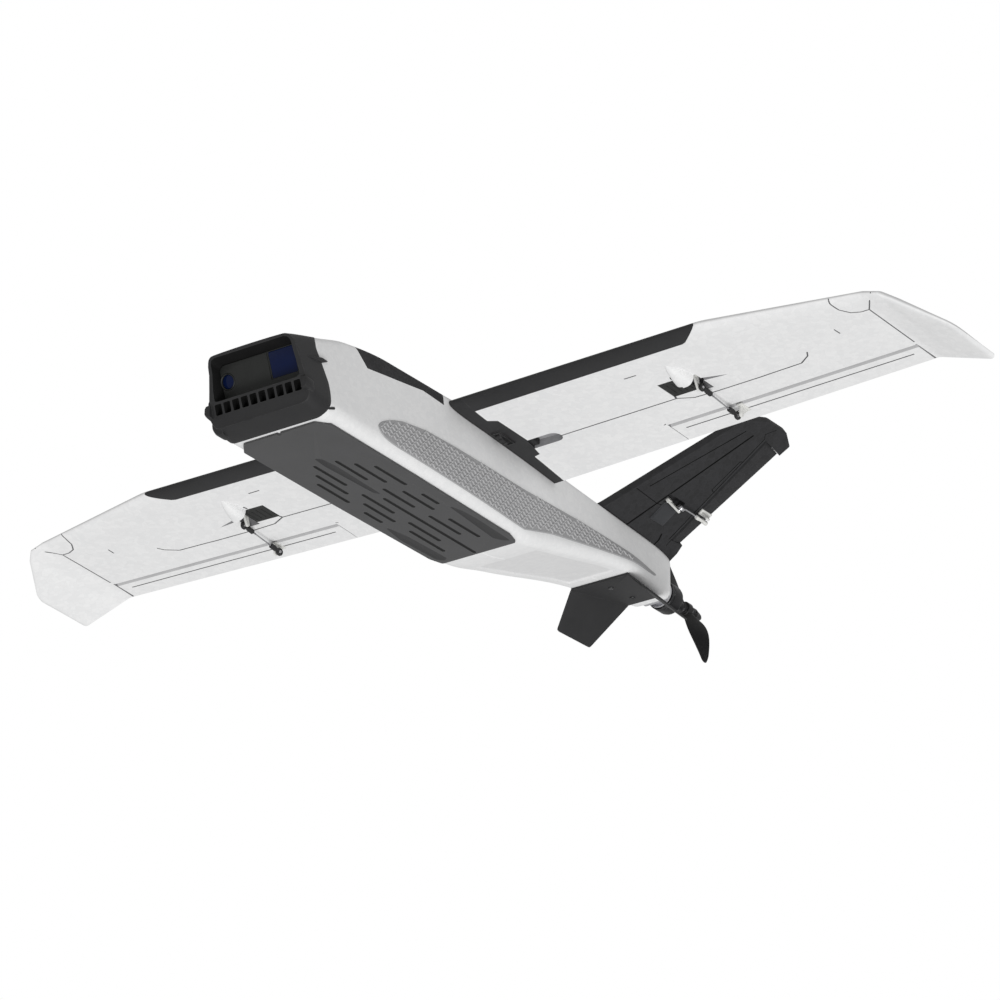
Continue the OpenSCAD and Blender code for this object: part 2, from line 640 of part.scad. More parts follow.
// Plan outlines of the black root rib and the leading edge strip.
module plan_zone(outline) translate([0, 0, -big]) linear_extrude(2 * big) polygon(outline);
rib_plan = [[20, -125], [58.5, -125], [57.7, -91.5], [56, -70.5], [63.7, -65.5],
    [63.2, -23], [56.8, 4.5], [50.3, 6], [45.1, 62], [20, 62]];
strip_plan = [[58.5, -125], [57.7, -89], [278, -89], [285, -92], [301, -125]];

lock_x = 45.8;
lock_t = 5;
lock_y = hinge_y - 59.5;
lock_z = wing_z + 4;
lock_d = 20;
plug_low = [57, hinge_y - 41, wing_z + 0.5];
plug_high = [66, hinge_y - 30, wing_z + 6];
recess_y = hinge_y - 36.5;
recess_half = 8;
recess_end = 84;
recess_top = wing_z + 6;

module wing_clear_body() translate([gap, 0, 0]) body_loft();
module lock_space() {
    rod_x(lock_x - gap, lock_x + lock_t + gap, lock_y, lock_z, lock_d + 2 * gap);
    rod_x(lock_x - 5, lock_x + lock_t + 6.5, lock_y, lock_z, pin_d + fit_gap);
    box([lock_x - gap, lock_y - lock_d / 2 - gap, 60],
        [lock_x + lock_t + gap, lock_y + lock_d / 2 + gap, lock_z]);
}
module root_rib(side) on_side(side) difference() {
    intersection() {
        wing_loft();
        plan_zone(rib_plan);
    }
    wing_clear_body();
    lock_space();
    rod_x(0, spar_half, spar_y, spar_z, spar_d + fit_gap);
    box(plug_low - [30, 0, 0], plug_high);
}
module root_rib_left() color([0.13, 0.13, 0.14]) root_rib(1);
module root_rib_right() color([0.13, 0.13, 0.14]) root_rib(-1);

module edge_strip(side) on_side(side) intersection() {
    wing_loft();
    plan_zone(strip_plan);
}
module edge_strip_left() color([0.13, 0.13, 0.14]) edge_strip(1);
module edge_strip_right() color([0.13, 0.13, 0.14]) edge_strip(-1);

module wing_lock(side) on_side(side) difference() {
    union() {
        rod_x(lock_x, lock_x + lock_t, lock_y, lock_z, lock_d);
        rod_x(lock_x, lock_x + lock_t + 6, lock_y, lock_z, pin_d);
    }
    for (a = [0:30:330]) rod_x(lock_x - 1, lock_x + lock_t + 1,
        lock_y + lock_d / 2 * cos(a), lock_z + lock_d / 2 * sin(a), 2);
}
module wing_lock_left() color([0.1, 0.1, 0.1]) wing_lock(1);
module wing_lock_right() color([0.1, 0.1, 0.1]) wing_lock(-1);

module wing_plug(side) on_side(side) difference() {
    box(plug_low, plug_high);
    for (i = [0:2])
        rod_x(plug_high[0] - 3, plug_high[0] + 1, plug_low[1] + 2.5 + 3 * i, plug_low[2] + 2.7, 1.4);
}
module wing_plug_left() color([0.1, 0.1, 0.1]) wing_plug(1);
module wing_plug_right() color([0.1, 0.1, 0.1]) wing_plug(-1);

servo_x = [36, 63];
servo_half_w = 6;
servo_y = [-6, 17];
hatch_y = [-64, -39];
module wing_servo_body(grow) box(
    [servo_x[0] - grow, -wing_reach[0] + servo_y[0] - grow, -wing_reach[1] - servo_half_w - grow],
    [servo_x[1] + grow, -wing_reach[0] + servo_y[1] + grow, -wing_reach[1] + servo_half_w + grow]);
module servo_cover_zone() box([servo_x[0] - 1, hatch_y[0], -12], [servo_x[1] - 2, hatch_y[1], -0.7]);
// Streamlined bulge of foam ahead of the servo arm.
fairing_len = 28;
module servo_fairing() translate([link_x - 3, -57, -2]) rotate([90, 0, 0])
    rotate_extrude($fn = 32) polygon([[0, 0], [11, 0], [10.6, fairing_len * 0.25], [8.8, fairing_len * 0.5],
        [5.6, fairing_len * 0.75], [0, fairing_len]]);
module wing(side) on_side(side) difference() {
    union() {
        wing_loft();
        wing_hinge_frame() servo_fairing();
    }
    plan_zone(rib_plan);
    plan_zone(strip_plan);
    rod_x(0, spar_half + 2, spar_y, spar_z, spar_d + fit_gap);
    box([56, recess_y - recess_half, 60], [recess_end, recess_y + recess_half, recess_top]);
    rod_z(60, recess_top, recess_end, recess_y, 2 * recess_half);
    wing_hinge_frame() {
        box([0, -gap, -30], [aileron_len, 60, 30]);
        wing_servo_body(0.15);
        servo_cover_zone();
        box([servo_x[1] - 2, hatch_y[0], -30], [link_x + 4, hatch_y[1] + 5, 12]);
    }
}
module wing_left() color("whitesmoke") wing(1);
module wing_right() color("whitesmoke") wing(-1);

module wing_servo(side) on_side(side) wing_hinge_frame() {
    wing_servo_body(0);
    rod_x(servo_x[1] - 1, link_x - arm_inner + arm_t + 0.4, -wing_reach[0], -wing_reach[1], pin_d);
}
module wing_servo_left() color("slategray") wing_servo(1);
module wing_servo_right() color("slategray") wing_servo(-1);

module servo_cover(side) on_side(side) difference() {
    intersection() {
        wing_loft();
        wing_hinge_frame() servo_cover_zone();
    }
    wing_hinge_frame() wing_servo_body(0.1);
}
module servo_cover_left() color("dimgray") servo_cover(1);
module servo_cover_right() color("dimgray") servo_cover(-1);

module servo_arm_left() color("white") wing_hinge_frame() servo_arm(link_x, wing_reach);
module servo_arm_right() color("white") on_side(-1) wing_hinge_frame() servo_arm(link_x, wing_reach);
module pushrod_left() color([0.1, 0.1, 0.1]) wing_hinge_frame() link_rod(link_x, wing_reach);
module pushrod_right() color([0.1, 0.1, 0.1]) on_side(-1) wing_hinge_frame() link_rod(link_x, wing_reach);

module aileron(side) on_side(side) intersection() {
    wing_loft();
    wing_hinge_frame() surface_zone(0.4, aileron_len - 0.4, 60, 20);
}
module aileron_left() color("whitesmoke") aileron(1);
module aileron_right() color("whitesmoke") aileron(-1);
module aileron_horn(side) on_side(side) difference() {
    wing_hinge_frame() horn(link_x, -1);
    wing_loft();
}
module aileron_horn_left() color("white") aileron_horn(1);
module aileron_horn_right() color("white") aileron_horn(-1);

fuselage_left();
fuselage_right();
grip_skin_left();
grip_skin_right();
skid_plate();
nose_cap();
camera_face();
vent_grille();
camera_window();
sensor_window();
camera_module();
canopy();
equipment_tray();
battery();
battery_strap();
flight_controller();
speed_controller();
main_spar();
tail_plate();
tail_plate_screws();
motor_mount();
motor_screws();
motor_stator();
motor_bell();
propeller();
prop_nut();
tail_fin_left();
tail_fin_right();
tail_servo_left();
tail_servo_right();
tail_servo_arm_left();
tail_servo_arm_right();
tail_pushrod_left();
tail_pushrod_right();
ruddervator_left();
ruddervator_right();
wing_left();
wing_right();
edge_strip_left();
edge_strip_right();
root_rib_left();
root_rib_right();
wing_lock_left();
wing_lock_right();
wing_plug_left();
wing_plug_right();
wing_servo_left();
wing_servo_right();
servo_cover_left();
servo_cover_right();
servo_arm_left();
servo_arm_right();
pushrod_left();
pushrod_right();
aileron_left();
aileron_right();
aileron_horn_left();
aileron_horn_right();
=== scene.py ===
"""A one metre foam fixed wing drone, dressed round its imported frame.

The row frame has the nose along -Y, the left wing along +X and the skid plate on Z = 0.
Sizes are in millimetres in that frame, and every mesh is written in metres.
"""
import logging
import math
from dataclasses import dataclass
from enum import Enum
from typing import Callable, ClassVar, Iterable, Optional, Sequence

import bmesh
import bpy
import numpy as np
from mathutils import Euler, Matrix, Vector


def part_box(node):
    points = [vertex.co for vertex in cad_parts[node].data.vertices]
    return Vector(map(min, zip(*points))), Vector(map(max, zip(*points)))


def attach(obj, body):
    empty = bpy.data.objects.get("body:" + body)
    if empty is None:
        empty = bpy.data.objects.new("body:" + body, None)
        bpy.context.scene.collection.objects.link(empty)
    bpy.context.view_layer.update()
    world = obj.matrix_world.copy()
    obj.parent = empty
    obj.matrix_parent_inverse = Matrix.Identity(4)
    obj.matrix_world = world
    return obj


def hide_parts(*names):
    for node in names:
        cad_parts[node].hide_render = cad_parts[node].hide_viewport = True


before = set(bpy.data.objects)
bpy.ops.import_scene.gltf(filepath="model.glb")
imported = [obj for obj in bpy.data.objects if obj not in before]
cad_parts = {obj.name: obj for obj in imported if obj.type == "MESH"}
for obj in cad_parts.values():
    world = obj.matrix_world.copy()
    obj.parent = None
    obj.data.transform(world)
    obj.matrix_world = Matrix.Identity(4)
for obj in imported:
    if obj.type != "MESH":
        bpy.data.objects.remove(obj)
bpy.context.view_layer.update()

MM = 0.001
LOG = logging.getLogger("drone")

POLE = 0.001  # radius that closes the pole of a turned shape, mm

Obj, Material = bpy.types.Object, bpy.types.Material
Node, Socket, NodeTree = bpy.types.Node, bpy.types.NodeSocket, bpy.types.NodeTree
Faces = list[tuple[int, ...]]
Pair = tuple[float, float]
Triple = tuple[float, float, float]
Points = tuple[Pair, ...]
Outline = Sequence[Pair]


class Side(Enum):
    """The two sides of the airframe; the value is the sign of X."""

    LEFT = 1
    RIGHT = -1

    @property
    def word(self) -> str:
        """The side's name as the bodies and nodes spell it."""
        return self.name.lower()


# ---------------------------------------------------------------------------------------
# Curves and rings
# ---------------------------------------------------------------------------------------
def flowing(knots: Sequence[float], values: np.ndarray, at: np.ndarray) -> np.ndarray:
    """Passes a smooth curve without overshoot through values given at the knots.

    Args:
        knots: rising places of the given values.
        values: one row per knot.
        at: places to read the curve at.

    Returns:
        One row per place.
    """
    k = np.asarray(knots, float)
    v = np.asarray(values, float)
    step = np.diff(k)[:, None]
    slope = np.diff(v, axis=0) / step
    tangent = np.zeros_like(v)
    tangent[0], tangent[-1] = slope[0], slope[-1]
    before, after = slope[:-1], slope[1:]
    w1, w2 = 2 * step[1:] + step[:-1], step[1:] + 2 * step[:-1]
    with np.errstate(divide="ignore", invalid="ignore"):
        mean = (w1 + w2) / (w1 / before + w2 / after)
    tangent[1:-1] = np.where(before * after > 0, mean, 0.0)
    i = np.clip(np.searchsorted(k, at, side="right") - 1, 0, len(k) - 2)
    h = step[i]
    t = (np.asarray(at, float)[:, None] - k[i][:, None]) / h
    return ((2 * t**3 - 3 * t**2 + 1) * v[i] + (t**3 - 2 * t**2 + t) * h * tangent[i]
            + (3 * t**2 - 2 * t**3) * v[i + 1] + (t**3 - t**2) * h * tangent[i + 1])


def arc(cx: float, cy: float, r: float, a0: float, a1: float, steps: int) -> list[Pair]:
    """Points of a circular arc, angles in degrees, both ends included."""
    return [(cx + r * math.cos(math.radians(a0 + (a1 - a0) * i / steps)),
             cy + r * math.sin(math.radians(a0 + (a1 - a0) * i / steps))) for i in range(steps + 1)]


def rounded(corners: Outline, radius: float | Sequence[float],
            steps: int = 5) -> list[Pair]:
    """Rounds the corners of a closed outline.

    Args:
        corners: outline points in order.
        radius: corner radius, or one for each corner; short edges get what fits.
        steps: segments per corner.

    Returns:
        The rounded outline.
    """
    pts = [Vector(c) for c in corners]
    out: list[Pair] = []
    for i, p in enumerate(pts):
        a, b = pts[i - 1] - p, pts[(i + 1) % len(pts)] - p
        turn = a.angle(b)
        r = radius if isinstance(radius, (int, float)) else radius[i]
        if r == 0:
            out.append((p.x, p.y))
            continue
        cut = min(r / math.tan(turn / 2), 0.45 * a.length, 0.45 * b.length)
        start, end = p + a.normalized() * cut, p + b.normalized() * cut
        for j in range(steps + 1):
            t = j / steps
            q = start * (1 - t) ** 2 + p * 2 * t * (1 - t) + end * t * t
            out.append((q.x, q.y))
    return out


def rect(x0: float, y0: float, x1: float, y1: float) -> list[Pair]:
    """Outline of a rectangle between two corners."""
    return [(x0, y0), (x1, y0), (x1, y1), (x0, y1)]


def slot_outline(a: Pair, b: Pair, width: float, steps: int = 6) -> list[Pair]:
    """Outline of a slot with round ends between two centres.

    Args:
        a: centre of the first end.
        b: centre of the other end.
        width: width, in millimetres.
        steps: number of segments.

    Returns:
        The points.
    """
    turn = math.degrees(math.atan2(b[1] - a[1], b[0] - a[0]))
    r = width / 2
    return arc(b[0], b[1], r, turn - 90, turn + 90, steps) + arc(a[0], a[1], r, turn + 90,
                                                                 turn + 270, steps)


def shift(x: float, y: float, z: float) -> Matrix:
    """Frame moved from the origin."""
    return Matrix.Translation((x, y, z))


def spin(degrees: float, axis: str) -> Matrix:
    """Frame turned about one axis."""
    return Matrix.Rotation(math.radians(degrees), 4, axis)


# ---------------------------------------------------------------------------------------
# Meshes
# ---------------------------------------------------------------------------------------
def new_mesh(name: str, points: Iterable[Sequence[float]], faces: Faces) -> Obj:
    """Makes an object from points in millimetres, with its faces turned outwards.

    Args:
        name: name of what is made.
        points: corner points, in millimetres.
        faces: point numbers of each face.

    Returns:
        The object.
    """
    mesh = bpy.data.meshes.new(name)
    mesh.from_pydata([tuple(c * MM for c in p) for p in points], [], faces)
    obj = bpy.data.objects.new(name, mesh)
    bpy.context.scene.collection.objects.link(obj)
    outward(obj)
    return obj


def outward(obj: Obj) -> None:
    """Merges doubled points and turns all faces outwards.

    Args:
        obj: the object.
    """
    bm = bmesh.new()
    bm.from_mesh(obj.data)
    bmesh.ops.remove_doubles(bm, verts=bm.verts, dist=1e-6)
    bmesh.ops.dissolve_degenerate(bm, edges=bm.edges, dist=1e-6)
    bmesh.ops.recalc_face_normals(bm, faces=bm.faces)
    bm.to_mesh(obj.data)
    bm.free()


def loft(name: str, rings: Sequence[Sequence[Sequence[float]]], closed: bool = False) -> Obj:
    """Joins rings of equal length into a solid; closed also joins the last ring to the first.

    Args:
        name: name of what is made.
        rings: rings of points, all of one length.
        closed: whether the last ring meets the first.

    Returns:
        The object.
    """
    n, m = len(rings[0]), len(rings)
    points = [p for ring in rings for p in ring]
    spans = range(m if closed else m - 1)
    faces: Faces = [(i * n + j, i * n + (j + 1) % n, ((i + 1) % m) * n + (j + 1) % n,
                     ((i + 1) % m) * n + j) for i in spans for j in range(n)]
    if not closed:
        faces += [tuple(range(n))[::-1], tuple(range((m - 1) * n, m * n))]
    return new_mesh(name, points, faces)


def prism(name: str, outline: Outline, low: float, high: float,
          axis: str = "z", place: Optional[Matrix] = None) -> Obj:
    """Extrudes an outline between two heights.

    Args:
        name: object name.
        outline: 2-D points; (x, y) for axis z, (y, z) for axis x, (x, z) for axis y.
        low: first height along the axis.
        high: last height along the axis.
        axis: extrusion axis.
        place: optional frame, in millimetres, that the solid is set into.

    Returns:
        The solid.
    """
    def spot(p: Pair, h: float) -> Vector:
        v = Vector({"z": (p[0], p[1], h), "x": (h, p[0], p[1]), "y": (p[0], h, p[1])}[axis])
        return place @ v if place else v

    return loft(name, [[spot(p, h) for p in outline] for h in (low, high)])


def block(name: str, low: Sequence[float], high: Sequence[float], place: Optional[Matrix] = None,
          edge: float = 0.0) -> Obj:
    """A box between two corners, with softened edges if asked."""
    obj = prism(name, rect(low[0], low[1], high[0], high[1]), low[2], high[2], "z", place)
    return soften(obj, edge) if edge else obj


def lathe(name: str, profile: Outline, place: Matrix, steps: int = 40) -> Obj:
    """Turns a closed (radius, height) profile about the Z axis of a frame.

    Args:
        name: name of what is made.
        profile: closed (radius, height) outline.
        place: frame that it is set into.
        steps: number of segments.

    Returns:
        The object.
    """
    rings = []
    for i in range(steps):
        a = 2 * math.pi * i / steps
        rings.append([place @ Vector((r * math.cos(a), r * math.sin(a), h)) for r, h in profile])
    return loft(name, rings, closed=True)


def tube(name: str, path: Sequence[Sequence[float]], radius: float, sides: int = 12) -> Obj:
    """A round rod that follows a path.

    Args:
        name: name of what is made.
        path: points that it follows.
        radius: radius, in millimetres.
        sides: number of sides.

    Returns:
        The object.
    """
    pts = [Vector(p) for p in path]
    normal = Vector((0, 0, 1))
    rings = []
    for i, p in enumerate(pts):
        ahead = (pts[min(i + 1, len(pts) - 1)] - pts[max(i - 1, 0)]).normalized()
        if abs(ahead.dot(normal)) > 0.95 and i == 0:
            normal = Vector((1, 0, 0))
        across = ahead.cross(normal).normalized()
        normal = across.cross(ahead).normalized()
        rings.append([p + (across * math.cos(a) + normal * math.sin(a)) * radius
                      for a in (2 * math.pi * j / sides for j in range(sides))])
    return loft(name, rings)


def ball(name: str, centre: Sequence[float], diameter: float, steps: int = 20) -> Obj:
    """A sphere with closed poles.

    Args:
        name: name of what is made.
        centre: middle point.
        diameter: diameter, in millimetres.
        steps: number of segments.

    Returns:
        The object.
    """
    r = diameter / 2
    profile = [(POLE, -r)] + arc(0, 0, r, -84, 84, 14) + [(POLE, r)]
    return lathe(name, profile, shift(*centre), steps)


def plain(obj: Obj) -> Obj:
    """Applies an object's modifiers, so that a plain mesh is left.

    Args:
        obj: the object.

    Returns:
        The object.
    """
    depsgraph = bpy.context.evaluated_depsgraph_get()
    depsgraph.update()
    mesh = bpy.data.meshes.new_from_object(obj.evaluated_get(depsgraph),
                                           preserve_all_data_layers=True, depsgraph=depsgraph)
    obj.modifiers.clear()
    obj.data = mesh
    return obj


def join(name: str, parts: Sequence[Obj]) -> Obj:
    """Joins objects into the first one, each keeping its own material.

    Args:
        name: name of what is made.
        parts: objects to join; the first one stays.

    Returns:
        The object.
    """
    with bpy.context.temp_override(active_object=parts[0], selected_editable_objects=list(parts),
                                   selected_objects=list(parts), object=parts[0]):
        bpy.ops.object.join()
    parts[0].name = parts[0].data.name = name
    return parts[0]


def boolean(obj: Obj, cutters: Sequence[Obj], operation: str = "DIFFERENCE") -> Obj:
    """Cuts, adds or intersects an object with others, one after another.

    Args:
        obj: the object.
        cutters: the other solids, which are used up.
        operation: what to do, in Blender's words.

    Returns:
        The object.
    """
    for cutter in cutters:
        mod = obj.modifiers.new("cut", "BOOLEAN")
        mod.operation, mod.solver, mod.object = operation, "EXACT", cutter
        mod.material_mode = "TRANSFER"
    plain(obj)
    for cutter in cutters:
        bpy.data.objects.remove(cutter)
    return obj


def soften(obj: Obj, width: float, segments: int = 2, angle: float = 35.0) -> Obj:
    """Rounds the sharp edges of an object by a width in millimetres.

    Args:
        obj: the object.
        width: width, in millimetres.
        segments: segments across the rounding.
        angle: smallest angle that counts as an edge, degrees.

    Returns:
        The object.
    """
    mod = obj.modifiers.new("soften", "BEVEL")
    mod.width, mod.segments = width * MM, segments
    mod.limit_method, mod.angle_limit = "ANGLE", math.radians(angle)
    mod.use_clamp_overlap, mod.harden_normals = True, False
    return plain(obj)


def sleek(obj: Obj, angle: float = 32.0) -> Obj:
    """Shades an object smooth apart from its sharp edges.

    Args:
        obj: the object.
        angle: smallest angle that counts as an edge, degrees.

    Returns:
        The object.
    """
    obj.data.shade_smooth()
    obj.data.set_sharp_from_angle(angle=math.radians(angle))
    return obj


def copy_of(obj: Obj, name: str) -> Obj:
    """A copy with its own mesh.

    Args:
        obj: the object.
        name: name of what is made.

    Returns:
        The object.
    """
    twin = bpy.data.objects.new(name, obj.data.copy())
    bpy.context.scene.collection.objects.link(twin)
    return twin


def mirrored(obj: Obj, name: str) -> Obj:
    """The same object on the other side of the X = 0 plane.

    Args:
        obj: the object.
        name: name of what is made.

    Returns:
        The object.
    """
    twin = copy_of(obj, name)
    twin.data.transform(Matrix.Diagonal((-1, 1, 1, 1)))
    twin.data.flip_normals()
    return twin


def dress(obj: Obj, material: Material) -> Obj:
    """Gives a whole object one material.

    Args:
        obj: the object.
        material: the finish.

    Returns:
        The object.
    """
    obj.data.materials.clear()
    obj.data.materials.append(material)
    for poly in obj.data.polygons:
        poly.material_index = 0
    return obj


def dark_cuts(cutters: Sequence[Obj], material: Material) -> list[Obj]:
    """Gives cutters the finish that the walls they leave behind will have."""
    return [dress(cutter, material) for cutter in cutters]


def publish(obj: Obj, body: str, slot: str, *nodes: str) -> Obj:
    """Hands a finished piece to the frame.

    Args:
        obj: the piece.
        body: the body that it rides on.
        slot: the record's material slot; not used.
        nodes: CAD nodes that it stands for.

    Returns:
        The piece.
    """
    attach(obj, body)
    if nodes:
        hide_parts(*nodes)
    LOG.info("%s on %s, %d faces", obj.name, body, len(obj.data.polygons))
    return obj


# ---------------------------------------------------------------------------------------
# Geometry Nodes: repeated shapes
# ---------------------------------------------------------------------------------------
class Pattern:
    """Geometry Nodes tree that sets a small shape on every point of a mesh.

    Each point carries its turn (Euler angles) as an attribute.
    """

    TURN = "turn"

    def __init__(self) -> None:
        """Builds the tree with its named inputs."""
        self.tree = bpy.data.node_groups.new("shape_on_points", "GeometryNodeTree")
        face = self.tree.interface
        for label, kind in (("Geometry", "Geometry"), ("Shape", "Object"), ("Material", "Material"),
                            ("Size Spread", "Float"), ("Seed", "Int")):
            face.new_socket(label, in_out="INPUT", socket_type="NodeSocket" + kind)
        face.new_socket("Geometry", in_out="OUTPUT", socket_type="NodeSocketGeometry")
        self.sockets = {s.name: s.identifier for s in face.items_tree if s.in_out == "INPUT"}
        self._wire()

    def _wire(self) -> None:
        """Adds and links the nodes."""
        nodes, links = self.tree.nodes, self.tree.links
        start = nodes.new("NodeGroupInput")
        end = nodes.new("NodeGroupOutput")
        shape = nodes.new("GeometryNodeObjectInfo")
        turn = nodes.new("GeometryNodeInputNamedAttribute")
        turn.data_type = "FLOAT_VECTOR"
        turn.inputs["Name"].default_value = self.TURN
        spin = nodes.new("FunctionNodeEulerToRotation")
        low = nodes.new("ShaderNodeMath")
        low.operation = "SUBTRACT"
        low.inputs[0].default_value = 1.0
        chance = nodes.new("FunctionNodeRandomValue")
        chance.data_type = "FLOAT"
        chance.inputs[3].default_value = 1.0
        place = nodes.new("GeometryNodeInstanceOnPoints")
        real = nodes.new("GeometryNodeRealizeInstances")
        paint = nodes.new("GeometryNodeSetMaterial")
        for source, target in (
                (start.outputs["Shape"], shape.inputs["Object"]),
                (start.outputs["Geometry"], place.inputs["Points"]),
                (shape.outputs["Geometry"], place.inputs["Instance"]),
                (turn.outputs["Attribute"], spin.inputs["Euler"]),
                (spin.outputs["Rotation"], place.inputs["Rotation"]),
                (start.outputs["Size Spread"], low.inputs[1]),
                (low.outputs[0], chance.inputs[2]),
                (start.outputs["Seed"], chance.inputs["Seed"]),
                (chance.outputs[1], place.inputs["Scale"]),
                (place.outputs["Instances"], real.inputs["Geometry"]),
                (real.outputs["Geometry"], paint.inputs["Geometry"]),
                (start.outputs["Material"], paint.inputs["Material"]),
                (paint.outputs["Geometry"], end.inputs["Geometry"])):
            links.new(source, target)

    def spread(self, name: str, shape: Obj, places: Sequence[Matrix],
               material: Optional[Material] = None, vary: float = 0.0,
               seed: int = 7) -> Obj:
        """Sets a shape at every place and bakes the result to a plain mesh.

        Args:
            name: name of the finished object.
            shape: the unit shape, which is removed afterwards.
            places: frames in millimetres.
            material: finish of the copies.
            vary: how much smaller a copy may be, as a fraction.
            seed: seed of that variation.

        Returns:
            The baked mesh object.
        """
        obj = bpy.data.objects.new(name, bpy.data.meshes.new(name))
        bpy.context.scene.collection.objects.link(obj)
        obj.data.from_pydata([tuple(m.translation * MM) for m in places], [], [])
        layer = obj.data.attributes.new(self.TURN, "FLOAT_VECTOR", "POINT")
        layer.data.foreach_set("vector", [c for m in places for c in m.to_3x3().to_euler()])
        mod = obj.modifiers.new("pattern", "NODES")
        mod.node_group = self.tree
        mod[self.sockets["Shape"]] = shape
        mod[self.sockets["Material"]] = material
        mod[self.sockets["Size Spread"]] = vary
        mod[self.sockets["Seed"]] = seed
        plain(obj)
        bpy.data.objects.remove(shape)
        if self.TURN in obj.data.attributes:
            obj.data.attributes.remove(obj.data.attributes[self.TURN])
        return obj


# ---------------------------------------------------------------------------------------
# Finishes
# ---------------------------------------------------------------------------------------
class Grain(Enum):
    """What the surface of a finish is like up close."""

    BEADS = "bead_foam"
    MOULDED = "moulded_grain"
    BRUSHED = "brushed_lines"
    WOVEN = "plain_weave"


class Wiring:
    """Small helper that adds shader nodes and links them."""

    def __init__(self, tree: NodeTree) -> None:
        """Keeps the tree that nodes are added to."""
        self.tree = tree

    def add(self, kind: str, **settings: object) -> Node:
        """Adds a node and sets its properties.

        Args:
            kind: node type.
            settings: properties to set.

        Returns:
            The node.
        """
        node = self.tree.nodes.new(kind)
        for key, value in settings.items():
            setattr(node, key, value)
        return node

    def link(self, source: Socket, target: Socket) -> None:
        """Links two sockets."""
        self.tree.links.new(source, target)

    def feed(self, value: object, target: Socket) -> None:
        """Links a socket, or sets a number."""
        if isinstance(value, Socket):
            self.link(value, target)
        elif value is not None:
            target.default_value = value

    def math(self, operation: str, a: object, b: object = None, c: object = None) -> Socket:
        """A Math node's result.

        Args:
            operation: what the node works out.
            a: first number or socket.
            b: second one.
            c: third one.

        Returns:
            The socket with the result.
        """
        node = self.add("ShaderNodeMath", operation=operation)
        for socket, value in zip(node.inputs, (a, b, c)):
            self.feed(value, socket)
        return node.outputs[0]

    def ramp(self, value: object, low: float, high: float, to_low: float = 0.0,
             to_high: float = 1.0) -> Socket:
        """A value stretched from one range to another, clamped.

        Args:
            value: the number or socket to stretch.
            low: start of its range.
            high: end of its range.
            to_low: start of the new range.
            to_high: end of the new range.

        Returns:
            The socket with the result.
        """
        node = self.add("ShaderNodeMapRange")
        node.interpolation_type = "SMOOTHSTEP"
        for socket, number in zip(node.inputs[:5], (value, low, high, to_low, to_high)):
            self.feed(number, socket)
        return node.outputs[0]

    def mix(self, factor: object, a: object, b: object) -> Socket:
        """A colour between two colours.

        Args:
            factor: share of the second colour.
            a: first colour.
            b: second colour.

        Returns:
            The socket with the result.
        """
        node = self.add("ShaderNodeMix", data_type="RGBA")
        self.feed(factor, node.inputs[0])
        self.feed(a, node.inputs[6])
        self.feed(b, node.inputs[7])
        return node.outputs[2]

    def noise(self, vector: object, scale: object, detail: float = 3.0, rough: float = 0.5) -> Node:
        """A noise texture.

        Args:
            vector: place that is fed in.
            scale: scale of the texture.
            detail: levels of detail.
            rough: roughness of the detail.

        Returns:
            The node.
        """
        node = self.add("ShaderNodeTexNoise")
        self.feed(vector, node.inputs["Vector"])
        self.feed(scale, node.inputs["Scale"])
        node.inputs["Detail"].default_value = detail
        node.inputs["Roughness"].default_value = rough
        return node

    def group(self, tree: NodeTree, vector: Socket, **values: float) -> Node:
        """A group node fed with a place, and with numbers named after its inputs.

        Args:
            tree: the shader group.
            vector: place that is fed in.
            values: numbers, by input name.

        Returns:
            The node.
        """
        node = self.add("ShaderNodeGroup")
        node.node_tree = tree
        self.link(vector, node.inputs["Vector"])
        for label, value in values.items():
            node.inputs[label].default_value = value
        return node


